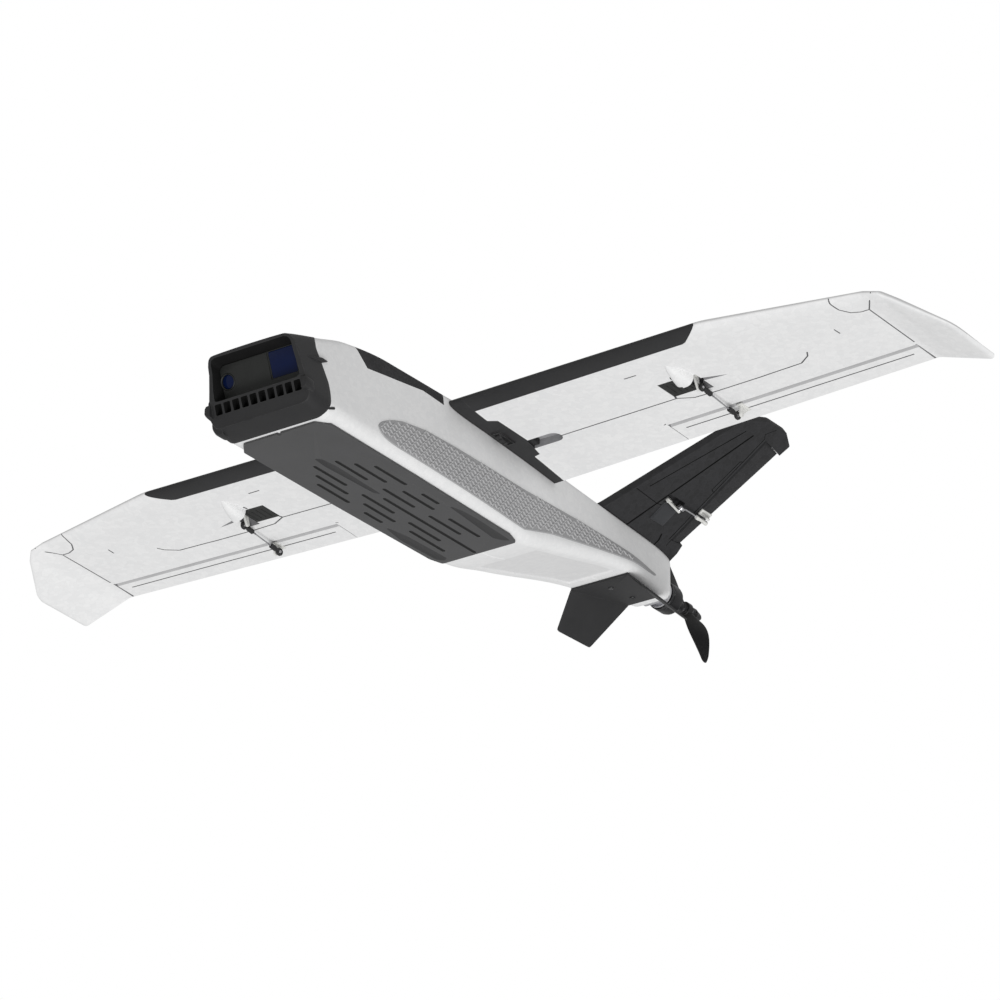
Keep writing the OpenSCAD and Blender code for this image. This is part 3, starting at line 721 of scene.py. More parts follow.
class Effects:
    """Shader groups that more than one finish uses, each built once."""

    def __init__(self) -> None:
        """Builds all groups."""
        builders = {Grain.BEADS: self._beads, Grain.MOULDED: self._moulded,
                    Grain.BRUSHED: self._brushed, Grain.WOVEN: self._woven}
        self.groups = {grain: self._grain_group(grain, build) for grain, build in builders.items()}
        self.wear = self._wear_group()
        self.dust = self._dust_group()

    @staticmethod
    def _group(name: str, inputs: dict[str, tuple[str, object]],
               outputs: Sequence[str]) -> tuple[Wiring, Node, Node]:
        """An empty group with named sockets, and its input and output nodes.

        Args:
            name: name of what is made.
            inputs: socket type and default of each input, by name.
            outputs: names of the outputs.

        Returns:
            The wiring helper, the input node and the output node.
        """
        tree = bpy.data.node_groups.new(name, "ShaderNodeTree")
        for label, (kind, value) in inputs.items():
            socket = tree.interface.new_socket(label, in_out="INPUT", socket_type=kind)
            if value is not None:
                socket.default_value = value
        for label in outputs:
            tree.interface.new_socket(label, in_out="OUTPUT", socket_type="NodeSocketFloat")
        wiring = Wiring(tree)
        return wiring, wiring.add("NodeGroupInput"), wiring.add("NodeGroupOutput")

    def _grain_group(self, grain: Grain, build: Callable[[Wiring, Node, Node], None]) -> NodeTree:
        """A group that turns a place and a grain size into height, shade and roughness.

        Args:
            grain: which grain it is.
            build: method that fills the group.

        Returns:
            The group.
        """
        wiring, start, end = self._group(
            grain.value,
            {"Vector": ("NodeSocketVector", None), "Size": ("NodeSocketFloat", 0.003)},
            ("Height", "Shade", "Roughness"))
        build(wiring, start, end)
        return wiring.tree

    @staticmethod
    def _beads(w: Wiring, start: Node, end: Node) -> None:
        """Expanded foam: pressed beads with fine seams, each bead a slightly other tone.

        Args:
            w: helper of the group's tree.
            start: the group's input node.
            end: the group's output node.
        """
        scale = w.math("DIVIDE", 1.0, start.outputs["Size"])
        warp = w.noise(start.outputs["Vector"], w.math("MULTIPLY", scale, 0.6), 2.0)
        bend = w.add("ShaderNodeVectorMath", operation="MULTIPLY_ADD")
        w.link(warp.outputs["Color"], bend.inputs[0])
        size = w.add("ShaderNodeCombineXYZ")
        for socket in size.inputs:
            w.feed(w.math("MULTIPLY", start.outputs["Size"], 0.8), socket)
        w.link(size.outputs[0], bend.inputs[1])
        w.link(start.outputs["Vector"], bend.inputs[2])
        cells = w.add("ShaderNodeTexVoronoi", feature="F1")
        seams = w.add("ShaderNodeTexVoronoi", feature="DISTANCE_TO_EDGE")
        for node in (cells, seams):
            w.link(bend.outputs[0], node.inputs["Vector"])
            w.link(scale, node.inputs["Scale"])
        seam = w.ramp(seams.outputs["Distance"], 0.0, 0.09)
        dome = w.ramp(cells.outputs["Distance"], 0.1, 0.75, 1.0, 0.0)
        tone = w.add("ShaderNodeSeparateColor")
        w.link(cells.outputs["Color"], tone.inputs[0])
        cloud = w.noise(start.outputs["Vector"], w.math("MULTIPLY", scale, 0.22), 4.0, 0.6)
        shade = w.math("ADD", w.math("MULTIPLY", tone.outputs[0], 0.42),
                       w.math("ADD", w.math("MULTIPLY", cloud.outputs[0], 0.5),
                              w.math("MULTIPLY", w.math("SUBTRACT", 1.0, seam), 0.22)))
        w.link(w.math("MULTIPLY", dome, seam), end.inputs["Height"])
        w.link(shade, end.inputs["Shade"])
        w.link(w.math("MULTIPLY_ADD", tone.outputs[1], 0.5, w.math("MULTIPLY", seam, 0.5)),
               end.inputs["Roughness"])

    @staticmethod
    def _moulded(w: Wiring, start: Node, end: Node) -> None:
        """Spark-eroded mould texture of hard plastic, with soft flow clouds.

        Args:
            w: helper of the group's tree.
            start: the group's input node.
            end: the group's output node.
        """
        scale = w.math("DIVIDE", 1.0, start.outputs["Size"])
        fine = w.noise(start.outputs["Vector"], scale, 2.0)
        pits = w.add("ShaderNodeTexVoronoi", feature="F1")
        w.link(start.outputs["Vector"], pits.inputs["Vector"])
        w.link(w.math("MULTIPLY", scale, 0.7), pits.inputs["Scale"])
        cloud = w.noise(start.outputs["Vector"], w.math("MULTIPLY", scale, 0.02), 4.0, 0.6)
        w.link(w.math("MULTIPLY_ADD", pits.outputs["Distance"], 0.5, fine.outputs[0]),
               end.inputs["Height"])
        w.link(w.math("MULTIPLY_ADD", fine.outputs[0], 0.35,
                      w.math("MULTIPLY", cloud.outputs[0], 0.65)), end.inputs["Shade"])
        w.link(w.math("MULTIPLY_ADD", cloud.outputs[0], 0.7,
                      w.math("MULTIPLY", fine.outputs[0], 0.3)), end.inputs["Roughness"])

    @staticmethod
    def _brushed(w: Wiring, start: Node, end: Node) -> None:
        """Turned or drawn metal: fine lines round the long axis of the airframe.

        Args:
            w: helper of the group's tree.
            start: the group's input node.
            end: the group's output node.
        """
        scale = w.math("DIVIDE", 1.0, start.outputs["Size"])
        stretch = w.add("ShaderNodeMapping")
        stretch.inputs["Scale"].default_value = (0.06, 1.0, 0.06)
        w.link(start.outputs["Vector"], stretch.inputs["Vector"])
        lines = w.noise(stretch.outputs[0], scale, 3.0, 0.6)
        cloud = w.noise(start.outputs["Vector"], w.math("MULTIPLY", scale, 0.05), 3.0)
        w.link(lines.outputs[0], end.inputs["Height"])
        w.link(w.math("MULTIPLY_ADD", lines.outputs[0], 0.5,
                      w.math("MULTIPLY", cloud.outputs[0], 0.5)), end.inputs["Shade"])
        w.link(lines.outputs[0], end.inputs["Roughness"])

    @staticmethod
    def _woven(w: Wiring, start: Node, end: Node) -> None:
        """Plain weave: threads that pass over and under each other.

        Args:
            w: helper of the group's tree.
            start: the group's input node.
            end: the group's output node.
        """
        scale = w.math("DIVIDE", 1.0, start.outputs["Size"])
        split = w.add("ShaderNodeSeparateXYZ")
        w.link(start.outputs["Vector"], split.inputs[0])
        along = w.math("MULTIPLY", w.math("ADD", split.outputs[0], split.outputs[2]), scale)
        across = w.math("MULTIPLY", split.outputs[1], scale)
        warp = w.math("ABSOLUTE", w.math("SINE", w.math("MULTIPLY", along, math.pi)))
        weft = w.math("ABSOLUTE", w.math("SINE", w.math("MULTIPLY", across, math.pi)))
        turn = w.math("ADD", w.math("FLOOR", along), w.math("FLOOR", across))
        over = w.math("PINGPONG", turn, 1.0)
        height = w.math("MULTIPLY_ADD", over, w.math("SUBTRACT", warp, weft), weft)
        fuzz = w.noise(start.outputs["Vector"], w.math("MULTIPLY", scale, 3.0), 2.0)
        w.link(height, end.inputs["Height"])
        w.link(w.math("MULTIPLY_ADD", over, 0.6, w.math("MULTIPLY", fuzz.outputs[0], 0.4)),
               end.inputs["Shade"])
        w.link(fuzz.outputs[0], end.inputs["Roughness"])

    def _wear_group(self) -> NodeTree:
        """Mask of edges that have been rubbed: where a rounded normal leaves the true one."""
        w, start, end = self._group("edge_wear", {"Vector": ("NodeSocketVector", None),
                                                  "Width": ("NodeSocketFloat", 0.001),
                                                  "Amount": ("NodeSocketFloat", 0.5)}, ("Mask",))
        rim = w.add("ShaderNodeBevel", samples=4)
        w.link(start.outputs["Width"], rim.inputs["Radius"])
        true = w.add("ShaderNodeNewGeometry")
        same = w.add("ShaderNodeVectorMath", operation="DOT_PRODUCT")
        w.link(rim.outputs[0], same.inputs[0])
        w.link(true.outputs["Normal"], same.inputs[1])
        edge = w.ramp(same.outputs["Value"], 0.995, 0.86)
        patch = w.ramp(w.noise(start.outputs["Vector"], 90.0, 4.0, 0.65).outputs[0], 0.42, 0.62)
        w.link(w.math("MULTIPLY", w.math("MULTIPLY", edge, patch), start.outputs["Amount"]),
               end.inputs["Mask"])
        return w.tree

    def _dust_group(self) -> NodeTree:
        """Mask of dust that has settled on faces that look up."""
        w, start, end = self._group("settled_dust", {"Vector": ("NodeSocketVector", None),
                                                     "Amount": ("NodeSocketFloat", 0.2)}, ("Mask",))
        true = w.add("ShaderNodeNewGeometry")
        up = w.add("ShaderNodeSeparateXYZ")
        w.link(true.outputs["Normal"], up.inputs[0])
        lying = w.ramp(up.outputs[2], 0.1, 0.95, 0.15, 1.0)
        speck = w.ramp(w.noise(start.outputs["Vector"], 1400.0, 2.0).outputs[0], 0.5, 0.72)
        drift = w.ramp(w.noise(start.outputs["Vector"], 22.0, 4.0, 0.6).outputs[0], 0.35, 0.75)
        w.link(w.math("MULTIPLY", w.math("MULTIPLY", lying, w.math("MAXIMUM", speck, drift)),
                      start.outputs["Amount"]), end.inputs["Mask"])
        return w.tree


@dataclass(frozen=True)
class Finish:
    """A procedural finish: colours, gloss and grain of one real material, or the painted shade of
    hollows and grooves.
    """

    WEAR_WIDTH: ClassVar[float] = 0.0009
    DUST_COLOUR: ClassVar[tuple[float, ...]] = (0.55, 0.54, 0.51, 1)

    name: str
    base: Triple
    tint: Triple
    rough: float = 0.5
    rough_spread: float = 0.1
    metal: float = 0.0
    grain: Grain = Grain.MOULDED
    grain_size: float = 0.0004
    bump: float = 0.00002
    strength: float = 0.3
    wear: float = 0.0
    wear_colour: Triple = (0.3, 0.3, 0.3)
    dust: float = 0.0
    coat: float = 0.0
    shine: float = 0.25
    ior: float = 1.5
    sheen: float = 0.0

    def make(self, effects: Effects) -> Material:
        """Builds the material's node tree.

        Args:
            effects: the shared shader groups.

        Returns:
            The material.
        """
        material = bpy.data.materials.new(self.name)
        material.use_nodes = True
        material.diffuse_color = (*self.base, 1.0)
        w = Wiring(material.node_tree)
        shader = material.node_tree.nodes["Principled BSDF"]
        place = w.add("ShaderNodeTexCoord").outputs["Object"]
        grain = w.group(effects.groups[self.grain], place, Size=self.grain_size)
        colour = w.mix(w.ramp(grain.outputs["Shade"], 0.15, 0.85), (*self.base, 1), (*self.tint, 1))
        rough = w.math("MULTIPLY_ADD", w.math("SUBTRACT", grain.outputs["Roughness"], 0.5),
                       2 * self.rough_spread, self.rough)
        if self.wear:
            wear = w.group(effects.wear, place, Width=self.WEAR_WIDTH, Amount=self.wear)
            colour = w.mix(wear.outputs["Mask"], colour, (*self.wear_colour, 1))
            rough = w.math("MULTIPLY_ADD", wear.outputs["Mask"], 0.15, rough)
        if self.dust:
            dust = w.group(effects.dust, place, Amount=self.dust)
            colour = w.mix(dust.outputs["Mask"], colour, self.DUST_COLOUR)
            rough = w.math("MULTIPLY_ADD", dust.outputs["Mask"], 0.3, rough)
        bump = w.add("ShaderNodeBump")
        bump.inputs["Distance"].default_value = self.bump
        bump.inputs["Strength"].default_value = self.strength
        w.link(grain.outputs["Height"], bump.inputs["Height"])
        w.link(colour, shader.inputs["Base Color"])
        w.link(rough, shader.inputs["Roughness"])
        w.link(bump.outputs[0], shader.inputs["Normal"])
        for label, value in (("Metallic", self.metal), ("IOR", self.ior),
                             ("Coat Weight", self.coat), ("Sheen Weight", self.sheen),
                             ("Specular IOR Level", self.shine)):
            shader.inputs[label].default_value = value
        return material


class Palette:
    """Every finish of the airframe, by the name of the material slot it belongs to."""

    WEAR_GREY = (0.19, 0.19, 0.19)
    FINISHES = (
        Finish("white_foam", (0.84, 0.84, 0.84), (0.79, 0.792, 0.795), 0.62, 0.10,
               grain=Grain.BEADS, grain_size=0.0040, bump=0.00010, strength=0.18, dust=0.03,
               shine=0.2),
        Finish("wing_foam", (0.85, 0.85, 0.85), (0.79, 0.792, 0.795), 0.62, 0.10, grain=Grain.BEADS,
               grain_size=0.0050, bump=0.00012, strength=0.18, dust=0.03, shine=0.2),
        Finish("foam_panel", (0.76, 0.76, 0.76), (0.72, 0.72, 0.725), 0.62, 0.10, grain=Grain.BEADS,
               grain_size=0.0040, bump=0.00010, strength=0.18, shine=0.2),
        # painted shade: grey foam walls of the root recess, the wing's hinge cut and the arm slot
        Finish("recess_grey", (0.36, 0.36, 0.37), (0.30, 0.30, 0.31), 0.7, 0.10, grain=Grain.BEADS,
               grain_size=0.0040, bump=0.00010, strength=0.2, shine=0.1),
        # painted shade: grey band on the aileron's sloping nose in the hinge gap
        Finish("nose_grey", (0.56, 0.56, 0.565), (0.46, 0.46, 0.465), 0.65, 0.1, shine=0.1),
        # painted shade: grey walls of the tapered hollow outboard of the servo arm
        Finish("slot_grey", (0.40, 0.40, 0.41), (0.32, 0.32, 0.33), 0.7, 0.10, shine=0.1),
        # painted shadow: dark grey walls of the scored lines, cable groove and pry notches in the
        # wing foam
        Finish("seam_grey", (0.20, 0.20, 0.205), (0.15, 0.15, 0.155), 0.7, 0.10, shine=0.1),
        Finish("black_foam", (0.024, 0.024, 0.025), (0.031, 0.031, 0.033), 0.6, 0.12,
               grain=Grain.BEADS, grain_size=0.0045, bump=0.0001, strength=0.2, wear=0.2,
               wear_colour=(0.10, 0.10, 0.10), dust=0.02, shine=0.2),
        # painted shadow: near black for the shaded insides of the hood's mouth, vent slots and
        # grille, and the fin's scored lines
        Finish("hood_black", (0.008, 0.008, 0.008), (0.012, 0.012, 0.012), 0.6, 0.10, shine=0.08),
        # painted shadow: darker walls of the skid plate's grooves, standing for the shade in their
        # depth
        Finish("groove_black", (0.026, 0.026, 0.026), (0.036, 0.036, 0.036), 0.6, 0.10, shine=0.1),
        Finish("black_plastic", (0.023, 0.023, 0.024), (0.031, 0.031, 0.032), 0.50, 0.10, wear=0.25,
               wear_colour=WEAR_GREY, dust=0.02, shine=0.2),
        Finish("grey_plastic", (0.070, 0.070, 0.071), (0.086, 0.086, 0.088), 0.52, 0.12,
               grain_size=0.0006, bump=0.00003, strength=0.4, wear=0.4,
               wear_colour=(0.20, 0.20, 0.20), dust=0.04, shine=0.2),
        Finish("leaf_grey", (0.044, 0.044, 0.045), (0.056, 0.056, 0.057), 0.55, 0.1,
               grain_size=0.0006, bump=0.00003, strength=0.4, shine=0.15),
        Finish("grip_grey", (0.38, 0.38, 0.385), (0.34, 0.34, 0.345), 0.66, 0.10, grain_size=0.0008,
               bump=0.00004, strength=0.4, dust=0.03, shine=0.15),
        Finish("grip_raised", (0.47, 0.47, 0.475), (0.43, 0.43, 0.435), 0.62, 0.10,
               grain_size=0.0008, bump=0.00004, strength=0.4, wear=0.2,
               wear_colour=(0.65, 0.65, 0.65), dust=0.02, shine=0.15),
        Finish("dark_grey_plastic", (0.019, 0.020, 0.019), (0.027, 0.028, 0.027), 0.5, 0.08,
               wear=0.15, wear_colour=(0.10, 0.10, 0.10), dust=0.02, shine=0.2),
        Finish("blue_glass", (0.003, 0.007, 0.034), (0.004, 0.010, 0.048), 0.14, 0.04,
               grain_size=0.004, bump=0.000004, strength=0.2, coat=0.08, ior=1.45, shine=0.12),
        Finish("white_nylon", (0.78, 0.78, 0.76), (0.66, 0.66, 0.63), 0.38, 0.08, grain_size=0.0005,
               wear=0.2, wear_colour=(0.55, 0.54, 0.5), dust=0.1),
        Finish("servo_case", (0.032, 0.033, 0.036), (0.042, 0.043, 0.047), 0.40, 0.06, wear=0.2,
               wear_colour=(0.1, 0.1, 0.11), dust=0.03),
        Finish("steel", (0.60, 0.60, 0.61), (0.42, 0.42, 0.44), 0.28, 0.10, metal=1.0,
               grain=Grain.BRUSHED, grain_size=0.0003, bump=0.00001, dust=0.05),
        Finish("aluminium", (0.74, 0.74, 0.76), (0.58, 0.58, 0.61), 0.32, 0.10, metal=1.0,
               grain=Grain.BRUSHED, grain_size=0.0004, bump=0.00001, dust=0.05),
        Finish("carbon", (0.012, 0.012, 0.013), (0.045, 0.045, 0.048), 0.30, 0.08,
               grain=Grain.WOVEN, grain_size=0.0016, bump=0.00003, strength=0.3, coat=0.8),
        Finish("battery_wrap", (0.018, 0.035, 0.16), (0.028, 0.055, 0.22), 0.25, 0.06,
               grain_size=0.002, bump=0.00006, strength=0.4, coat=0.5, dust=0.05),
        Finish("strap_webbing", (0.010, 0.010, 0.010), (0.045, 0.045, 0.045), 0.85, 0.08,
               grain=Grain.WOVEN, grain_size=0.0011, bump=0.00018, strength=0.8, sheen=0.3,
               dust=0.1),
        Finish("circuit_board", (0.008, 0.050, 0.030), (0.014, 0.085, 0.050), 0.35, 0.08,
               grain=Grain.WOVEN, grain_size=0.0012, bump=0.00002, coat=0.4, dust=0.08),
        Finish("plywood", (0.60, 0.42, 0.24), (0.44, 0.28, 0.14), 0.6, 0.1, grain=Grain.BRUSHED,
               grain_size=0.0018, bump=0.00006, strength=0.5, dust=0.08),
        Finish("motor_black", (0.012, 0.012, 0.013), (0.022, 0.022, 0.024), 0.38, 0.08, metal=0.2,
               grain=Grain.BRUSHED, grain_size=0.0005, bump=0.00001, wear=0.5,
               wear_colour=(0.45, 0.45, 0.46), dust=0.06),
        Finish("copper", (0.72, 0.28, 0.12), (0.45, 0.15, 0.06), 0.32, 0.08, metal=1.0,
               grain=Grain.BRUSHED, grain_size=0.0004, bump=0.00003, strength=0.6),
        Finish("prop_plastic", (0.010, 0.010, 0.010), (0.016, 0.016, 0.017), 0.36, 0.08, coat=0.05,
               wear=0.3, wear_colour=(0.08, 0.08, 0.08), dust=0.02),
        Finish("rubber_black", (0.012, 0.012, 0.012), (0.025, 0.025, 0.025), 0.75, 0.08,
               grain_size=0.0006, dust=0.12),
        Finish("wire_red", (0.42, 0.02, 0.015), (0.30, 0.012, 0.010), 0.45, 0.06, grain_size=0.001,
               dust=0.05),
    )

    def __init__(self, effects: Effects) -> None:
        """Builds all materials."""
        self.made = {finish.name: finish.make(effects) for finish in self.FINISHES}

    def __getitem__(self, name: str) -> Material:
        """The material of that name."""
        return self.made[name]


# ---------------------------------------------------------------------------------------
# Body surface
# ---------------------------------------------------------------------------------------
@dataclass(frozen=True)
class Hull:
    """The body's outer surface: stations along Y joined by smooth curves.

    A station is y, lower half width, shoulder half width, belly z, shoulder z, crown z and
    the radius of the lower edge.
    """

    stations: tuple[tuple[float, ...], ...] = ((-329.5, 50, 44, 30, 64, 65, 10),
                                               (-320, 51.5, 43.8, 15, 67, 69, 11),
                                               (-306, 53.5, 43.2, 7, 71.2, 74, 12),
                                               (-285.5, 54.4, 42.6, 2.5, 77.3, 80.5, 12),
                                               (-248.5, 54, 40, 2.5, 88.5, 94, 12),
                                               (-190, 54, 40.5, 2.5, 95, 101, 12),
                                               (-111.5, 53, 42, 2.5, 95.5, 100.5, 12),
                                               (-70, 51.5, 40, 2.5, 99, 104, 11),
                                               (-2.5, 48, 36, 2.5, 101, 106, 10),
                                               (57.5, 45, 33, 15.5, 95, 100, 9),
                                               (173.5, 36, 25, 43.3, 94, 98, 7),
                                               (241, 22, 20.5, 50.1, 93, 96.5, 6),
                                               (258, 20, 19, 52.5, 91, 94, 6))
    belly_steps: int = 4
    corner_steps: int = 8
    side_steps: int = 8
    crown_steps: int = 12

    def at(self, y: float) -> np.ndarray:
        """Station values at a place along the body.

        Args:
            y: place along the body.

        Returns:
            The values.
        """
        knots = [s[0] for s in self.stations]
        rows = np.array([s[1:] for s in self.stations])
        return flowing(knots, rows, np.array([min(max(y, knots[0]), knots[-1])]))[0]

    def belly_z(self, y: float) -> float:
        """Height of the belly."""
        return float(self.at(y)[2])

    @staticmethod
    def _soft(y: float) -> float:
        """How far the shoulder corner is rounded: most at the nose."""
        return float(np.interp(y, (-322, -300, -250, 230, 258), (7.0, 6.0, 2.5, 2.5, 5.0)))

    def half(self, y: float, grow: float = 0.0, seam: float = 0.0) -> list[Pair]:
        """Left half outline (x, z) from the belly centre to the crown centre.

        Args:
            y: place along the body.
            grow: how far the outline stands off the surface.
            seam: depth of the groove along the mould seam.

        Returns:
            The points.
        """
        low, top, belly, shoulder, crown, r = self.at(y)
        low, top, belly, crown = low + grow, top + grow, belly - grow, crown + grow
        slant = math.degrees(math.atan2(low - top, shoulder - belly - r))
        corner = arc(low - r, belly + r, r, -90, slant, self.corner_steps)
        flat = [(x, belly) for x in np.linspace(0.7, low - r, self.belly_steps + 1)[:-1]]
        soft = self._soft(y)
        end = Vector((top, shoulder)).lerp(Vector(corner[-1]),
                                           soft / max(shoulder - corner[-1][1], soft * 1.2))
        side = [(x, z) for x, z in zip(np.linspace(corner[-1][0], end.x, self.side_steps + 1)[1:],
                                       np.linspace(corner[-1][1], end.y, self.side_steps + 1)[1:])]
        first = math.acos(max((top - soft) / top, 0.0))
        crown_arc = [(top * math.cos(a), shoulder + (crown - shoulder) * math.sin(a))
                     for a in np.linspace(first, math.pi / 2, self.crown_steps + 1)[:-1]]
        start = Vector(crown_arc[0])
        peak = Vector((top - 0.15 * soft, shoulder + 0.75 * (start.y - shoulder)))
        turn = [tuple(end * (1 - t) ** 2 + peak * 2 * t * (1 - t) + start * t * t)
                for t in (0.2, 0.4, 0.6, 0.8)]
        return [(0.0, belly + seam), *flat, *corner, *side, *turn, *crown_arc, (0.7, crown),
                (0.0, crown - seam)]

    def side_x(self, y: float, z: float) -> float:
        """Half width of the body's side at a height.

        Args:
            y: place along the body.
            z: height.

        Returns:
            The value, in millimetres.
        """
        points = self.half(y)
        widest = max(range(len(points)), key=lambda i: points[i][0])
        lower = points[:widest + 1]
        upper = points[widest:]
        chosen = lower if z < points[widest][1] else upper
        zs, xs = [p[1] for p in chosen], [p[0] for p in chosen]
        return float(np.interp(z, zs, xs))

    def solid(self, name: str, places: Sequence[float], grow: float = 0.0, seam: float = 0.0,
              halved: bool = False, tail_round: float = 0.0) -> Obj:
        """Lofts the surface through a row of places.

        Args:
            name: object name.
            places: Y places of the rings.
            grow: offset from the surface.
            seam: depth of the seam groove.
            halved: makes only the left half, closed by the seam plane.
            tail_round: radius that rounds the last end.

        Returns:
            The solid.
        """
        rings = []
        end = places[-1]
        stops = [(y, 0.0) for y in places if y < end - tail_round or not tail_round]
        if tail_round:
            stops += [(end - tail_round + tail_round * math.sin(a),
                       tail_round * 0.7 * (1 - math.cos(a)))
                      for a in np.linspace(0, math.pi / 2, 7)]
        for y, inset in stops:
            half = self.half(y, grow - inset, seam)
            ring = [(x, y, z) for x, z in half]
            if not halved:
                ring += [(-x, y, z) for x, z in half[-2:0:-1]]
            rings.append(ring)
        return loft(name, rings)


HULL = Hull()
SPAR_BORE = 4.1


def spar_bore(x0: float, x1: float) -> Obj:
    """Cutter round the wing spar between two places along the span.

    Args:
        x0: first place along X.
        x1: last place along X.

    Returns:
        The object.
    """
    low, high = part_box("main_spar")
    axis = (low + high) / 2 / MM
    return tube("spar_bore", [(x0, axis.y, axis.z), (x1, axis.y, axis.z)], SPAR_BORE, 24)


@dataclass
class Fuselage:
    """White foam body in two mirrored halves, with its grip skins."""

    palette: Palette
    pattern: Pattern
    front_y: float = -297.0
    tail_y: float = 258.0
    ring_step: float = 6.0
    seam: float = 0.5
    front: Points = ((-286.3, -30), (-286.3, 2.5), (-284.6, 7.5), (-283, 13), (-281.9, 24),
                     (-282.6, 33), (-285.6, 41.5), (-289.0, 50.5), (-292.0, 58), (-294.4, 64),
                     (-294.6, 70), (-292.3, 75.5), (-289.5, 79.5), (-287, 90), (-287, 130))
    bay: tuple[tuple[float, ...], ...] = ((-33, -276, 14, 33, -128, 72),
                                          (-33, -219, 14, 33, -132, 140),
                                          (-9, -129, 60, 9, 270, 76), (-18, -129, 40, 18, -6, 80))
    hatch: Points = ((-243, 140), (-239, 96), (-222, 76), (-144.5, 87.5),
                                              (-115.5, 85.5), (-115.5, 140))
    panel_y: Pair = (34.0, 163.0)
    panel_half: Pair = (32.5, 24.0)
    panel_deep: float = 1.5
    grip_outline: Points = ((-216.5, 21), (-215.9, 18.4), (-213.6, 15.6), (-209, 13.4),
                            (-202, 12.2), (-190, 11.5), (-2.5, 11), (40, 24), (173.5, 53),
                            (222, 60.5), (226, 62.5), (222, 63.5), (87, 59), (4, 53.5), (-147, 47),
                            (-180, 41.5), (-194, 36.6), (-204, 32), (-210.5, 28), (-214.5, 24.6),
                            (-216, 22.6))
    grip_proud: float = 0.8
    tread_pitch: float = 4.2
    tread_length: float = 4.3
    tread_width: float = 1.7
    tread_high: float = 0.8

    def front_curve(self, move: float) -> list[Pair]:
        """Side view (y, z) of the joint between foam and nose cap, smoothed and moved along Y.

        Args:
            move: how far the curve is moved along Y.

        Returns:
            The points.
        """
        heights = np.linspace(-20, 110, 66)
        ys = flowing([p[1] for p in self.front], np.array([[p[0]] for p in self.front]),
                     heights)[:, 0]
        return [(float(y) + move, float(z)) for y, z in zip(ys, heights)]

    def build(self) -> None:
        """Makes both halves and both grip skins."""
        places = list(np.arange(self.front_y, self.tail_y, self.ring_step)) + [self.tail_y]
        half = HULL.solid("fuselage_left_shell", places, 0.0, self.seam, True, 6.0)
        front = prism("front_cut", [(-340, -20), *self.front_curve(0.15), (-340, 110)], -5, 80, "x")
        hatch = prism("hatch_cut", self.hatch, -5, 80, "x")
        rooms = [block("room", r[:3], r[3:]) for r in self.bay]
        panel = dress(self._panel_cut(), self.palette["foam_panel"])
        dress(half, self.palette["white_foam"])
        boolean(half, [front, hatch, *rooms, panel, spar_bore(-5, 80)])
        sleek(half, 28)
        publish(mirrored(half, "fuselage_right_shell"), "airframe", "white_foam", "fuselage_right")
        publish(half, "airframe", "white_foam", "fuselage_left")
        grip = self._grip()
        publish(mirrored(grip, "grip_right"), "airframe", "grip_grey", "grip_skin_right")
        publish(grip, "airframe", "grip_grey", "grip_skin_left")

    def _panel_cut(self) -> Obj:
        """Shallow tray with sloping walls, sunk into the rising belly."""
        y0, y1 = self.panel_y
        rings = []
        for t in (0, 0.02, 0.2, 0.4, 0.6, 0.8, 0.98, 1):
            y = y0 + (y1 - y0) * t
            deep = -0.3 if t in (0, 1) else self.panel_deep
            half = self.panel_half[0] + (self.panel_half[1] - self.panel_half[0]) * t
            z = HULL.belly_z(y)
            rings.append([(-half - 1.6, y, z - 3), (half + 1.6, y, z - 3),
                          (half + 1.2, y, z - 0.05), (half, y, z + deep), (-half, y, z + deep),
                          (-half - 1.2, y, z - 0.05)])
        return loft("panel_cut", rings)

    def _edges(self, y: float) -> Pair:
        """Lower and upper height of the grip skin at a place along the body.

        Args:
            y: place along the body.

        Returns:
            The two heights.
        """
        outline = self.grip_outline
        nose, tip = outline[0], max(outline)
        turn = outline.index(tip)
        lower = outline[:turn + 1]
        upper = [nose] + list(outline[:turn - 1:-1])
        low = float(np.interp(y, [p[0] for p in lower], [p[1] for p in lower]))
        high = float(np.interp(y, [p[0] for p in upper], [p[1] for p in upper]))
        return low, max(high, low + 0.1)

    def _skin_point(self, y: float, z: float, proud: float) -> Vector:
        """A point on the body's side, lifted off it."""
        normal = self._skin_normal(y, z)
        return Vector((HULL.side_x(y, z), y, z)) + normal * proud

    def _skin_normal(self, y: float, z: float) -> Vector:
        """Outward direction of the body's side.

        Args:
            y: place along the body.
            z: height.

        Returns:
            The direction, of length 1.
        """
        step = 1.0
        up = Vector((HULL.side_x(y, z + step) - HULL.side_x(y, z - step), 0, 2 * step))
        along = Vector((HULL.side_x(y + step, z) - HULL.side_x(y - step, z), 2 * step, 0))
        return along.cross(up).normalized()

    def _grip(self) -> Obj:
        """Left grip skin: a thin raised sheet with a tread of short bars."""
        rings = []
        for y in [*np.linspace(self.grip_outline[0][0] + 0.1, -200, 24),
                  *np.linspace(-197, 225.6, 120)]:
            low, high = self._edges(float(y))
            edge = min(0.8, (high - low) * 0.2)
            heights = [low, low + edge, *np.linspace(low + edge, high - edge, 9)[1:-1], high - edge,
                       high]
            top = [self._skin_point(y, z, 0.05 if z in (low, high) else self.grip_proud)
                   for z in heights]
            back = [self._skin_point(y, z, -0.8) for z in (high, (low + high) / 2, low)]
            rings.append([*top, *back])
        sheet = sleek(dress(loft("grip_left", rings), self.palette["grip_grey"]), 30)
        bar = self._bar()
        tread = self.pattern.spread("tread", bar, self._tread(), self.palette["grip_raised"], 0.06,
                                    3)
        sleek(tread, 30)
        return join("grip_left", [sheet, tread])

    def _bar(self) -> Obj:
        """One bar of the tread: a low ridge with sloping ends."""
        a, b, h = self.tread_length / 2, self.tread_width / 2, self.tread_high
        base = [(-a, -b), (a, -b), (a, b), (-a, b)]
        return loft("bar", [[(x, y, -0.3) for x, y in base], [(x, y, h * 0.4) for x, y in base],
                            [(x * 0.86, y * 0.5, h) for x, y in base]])

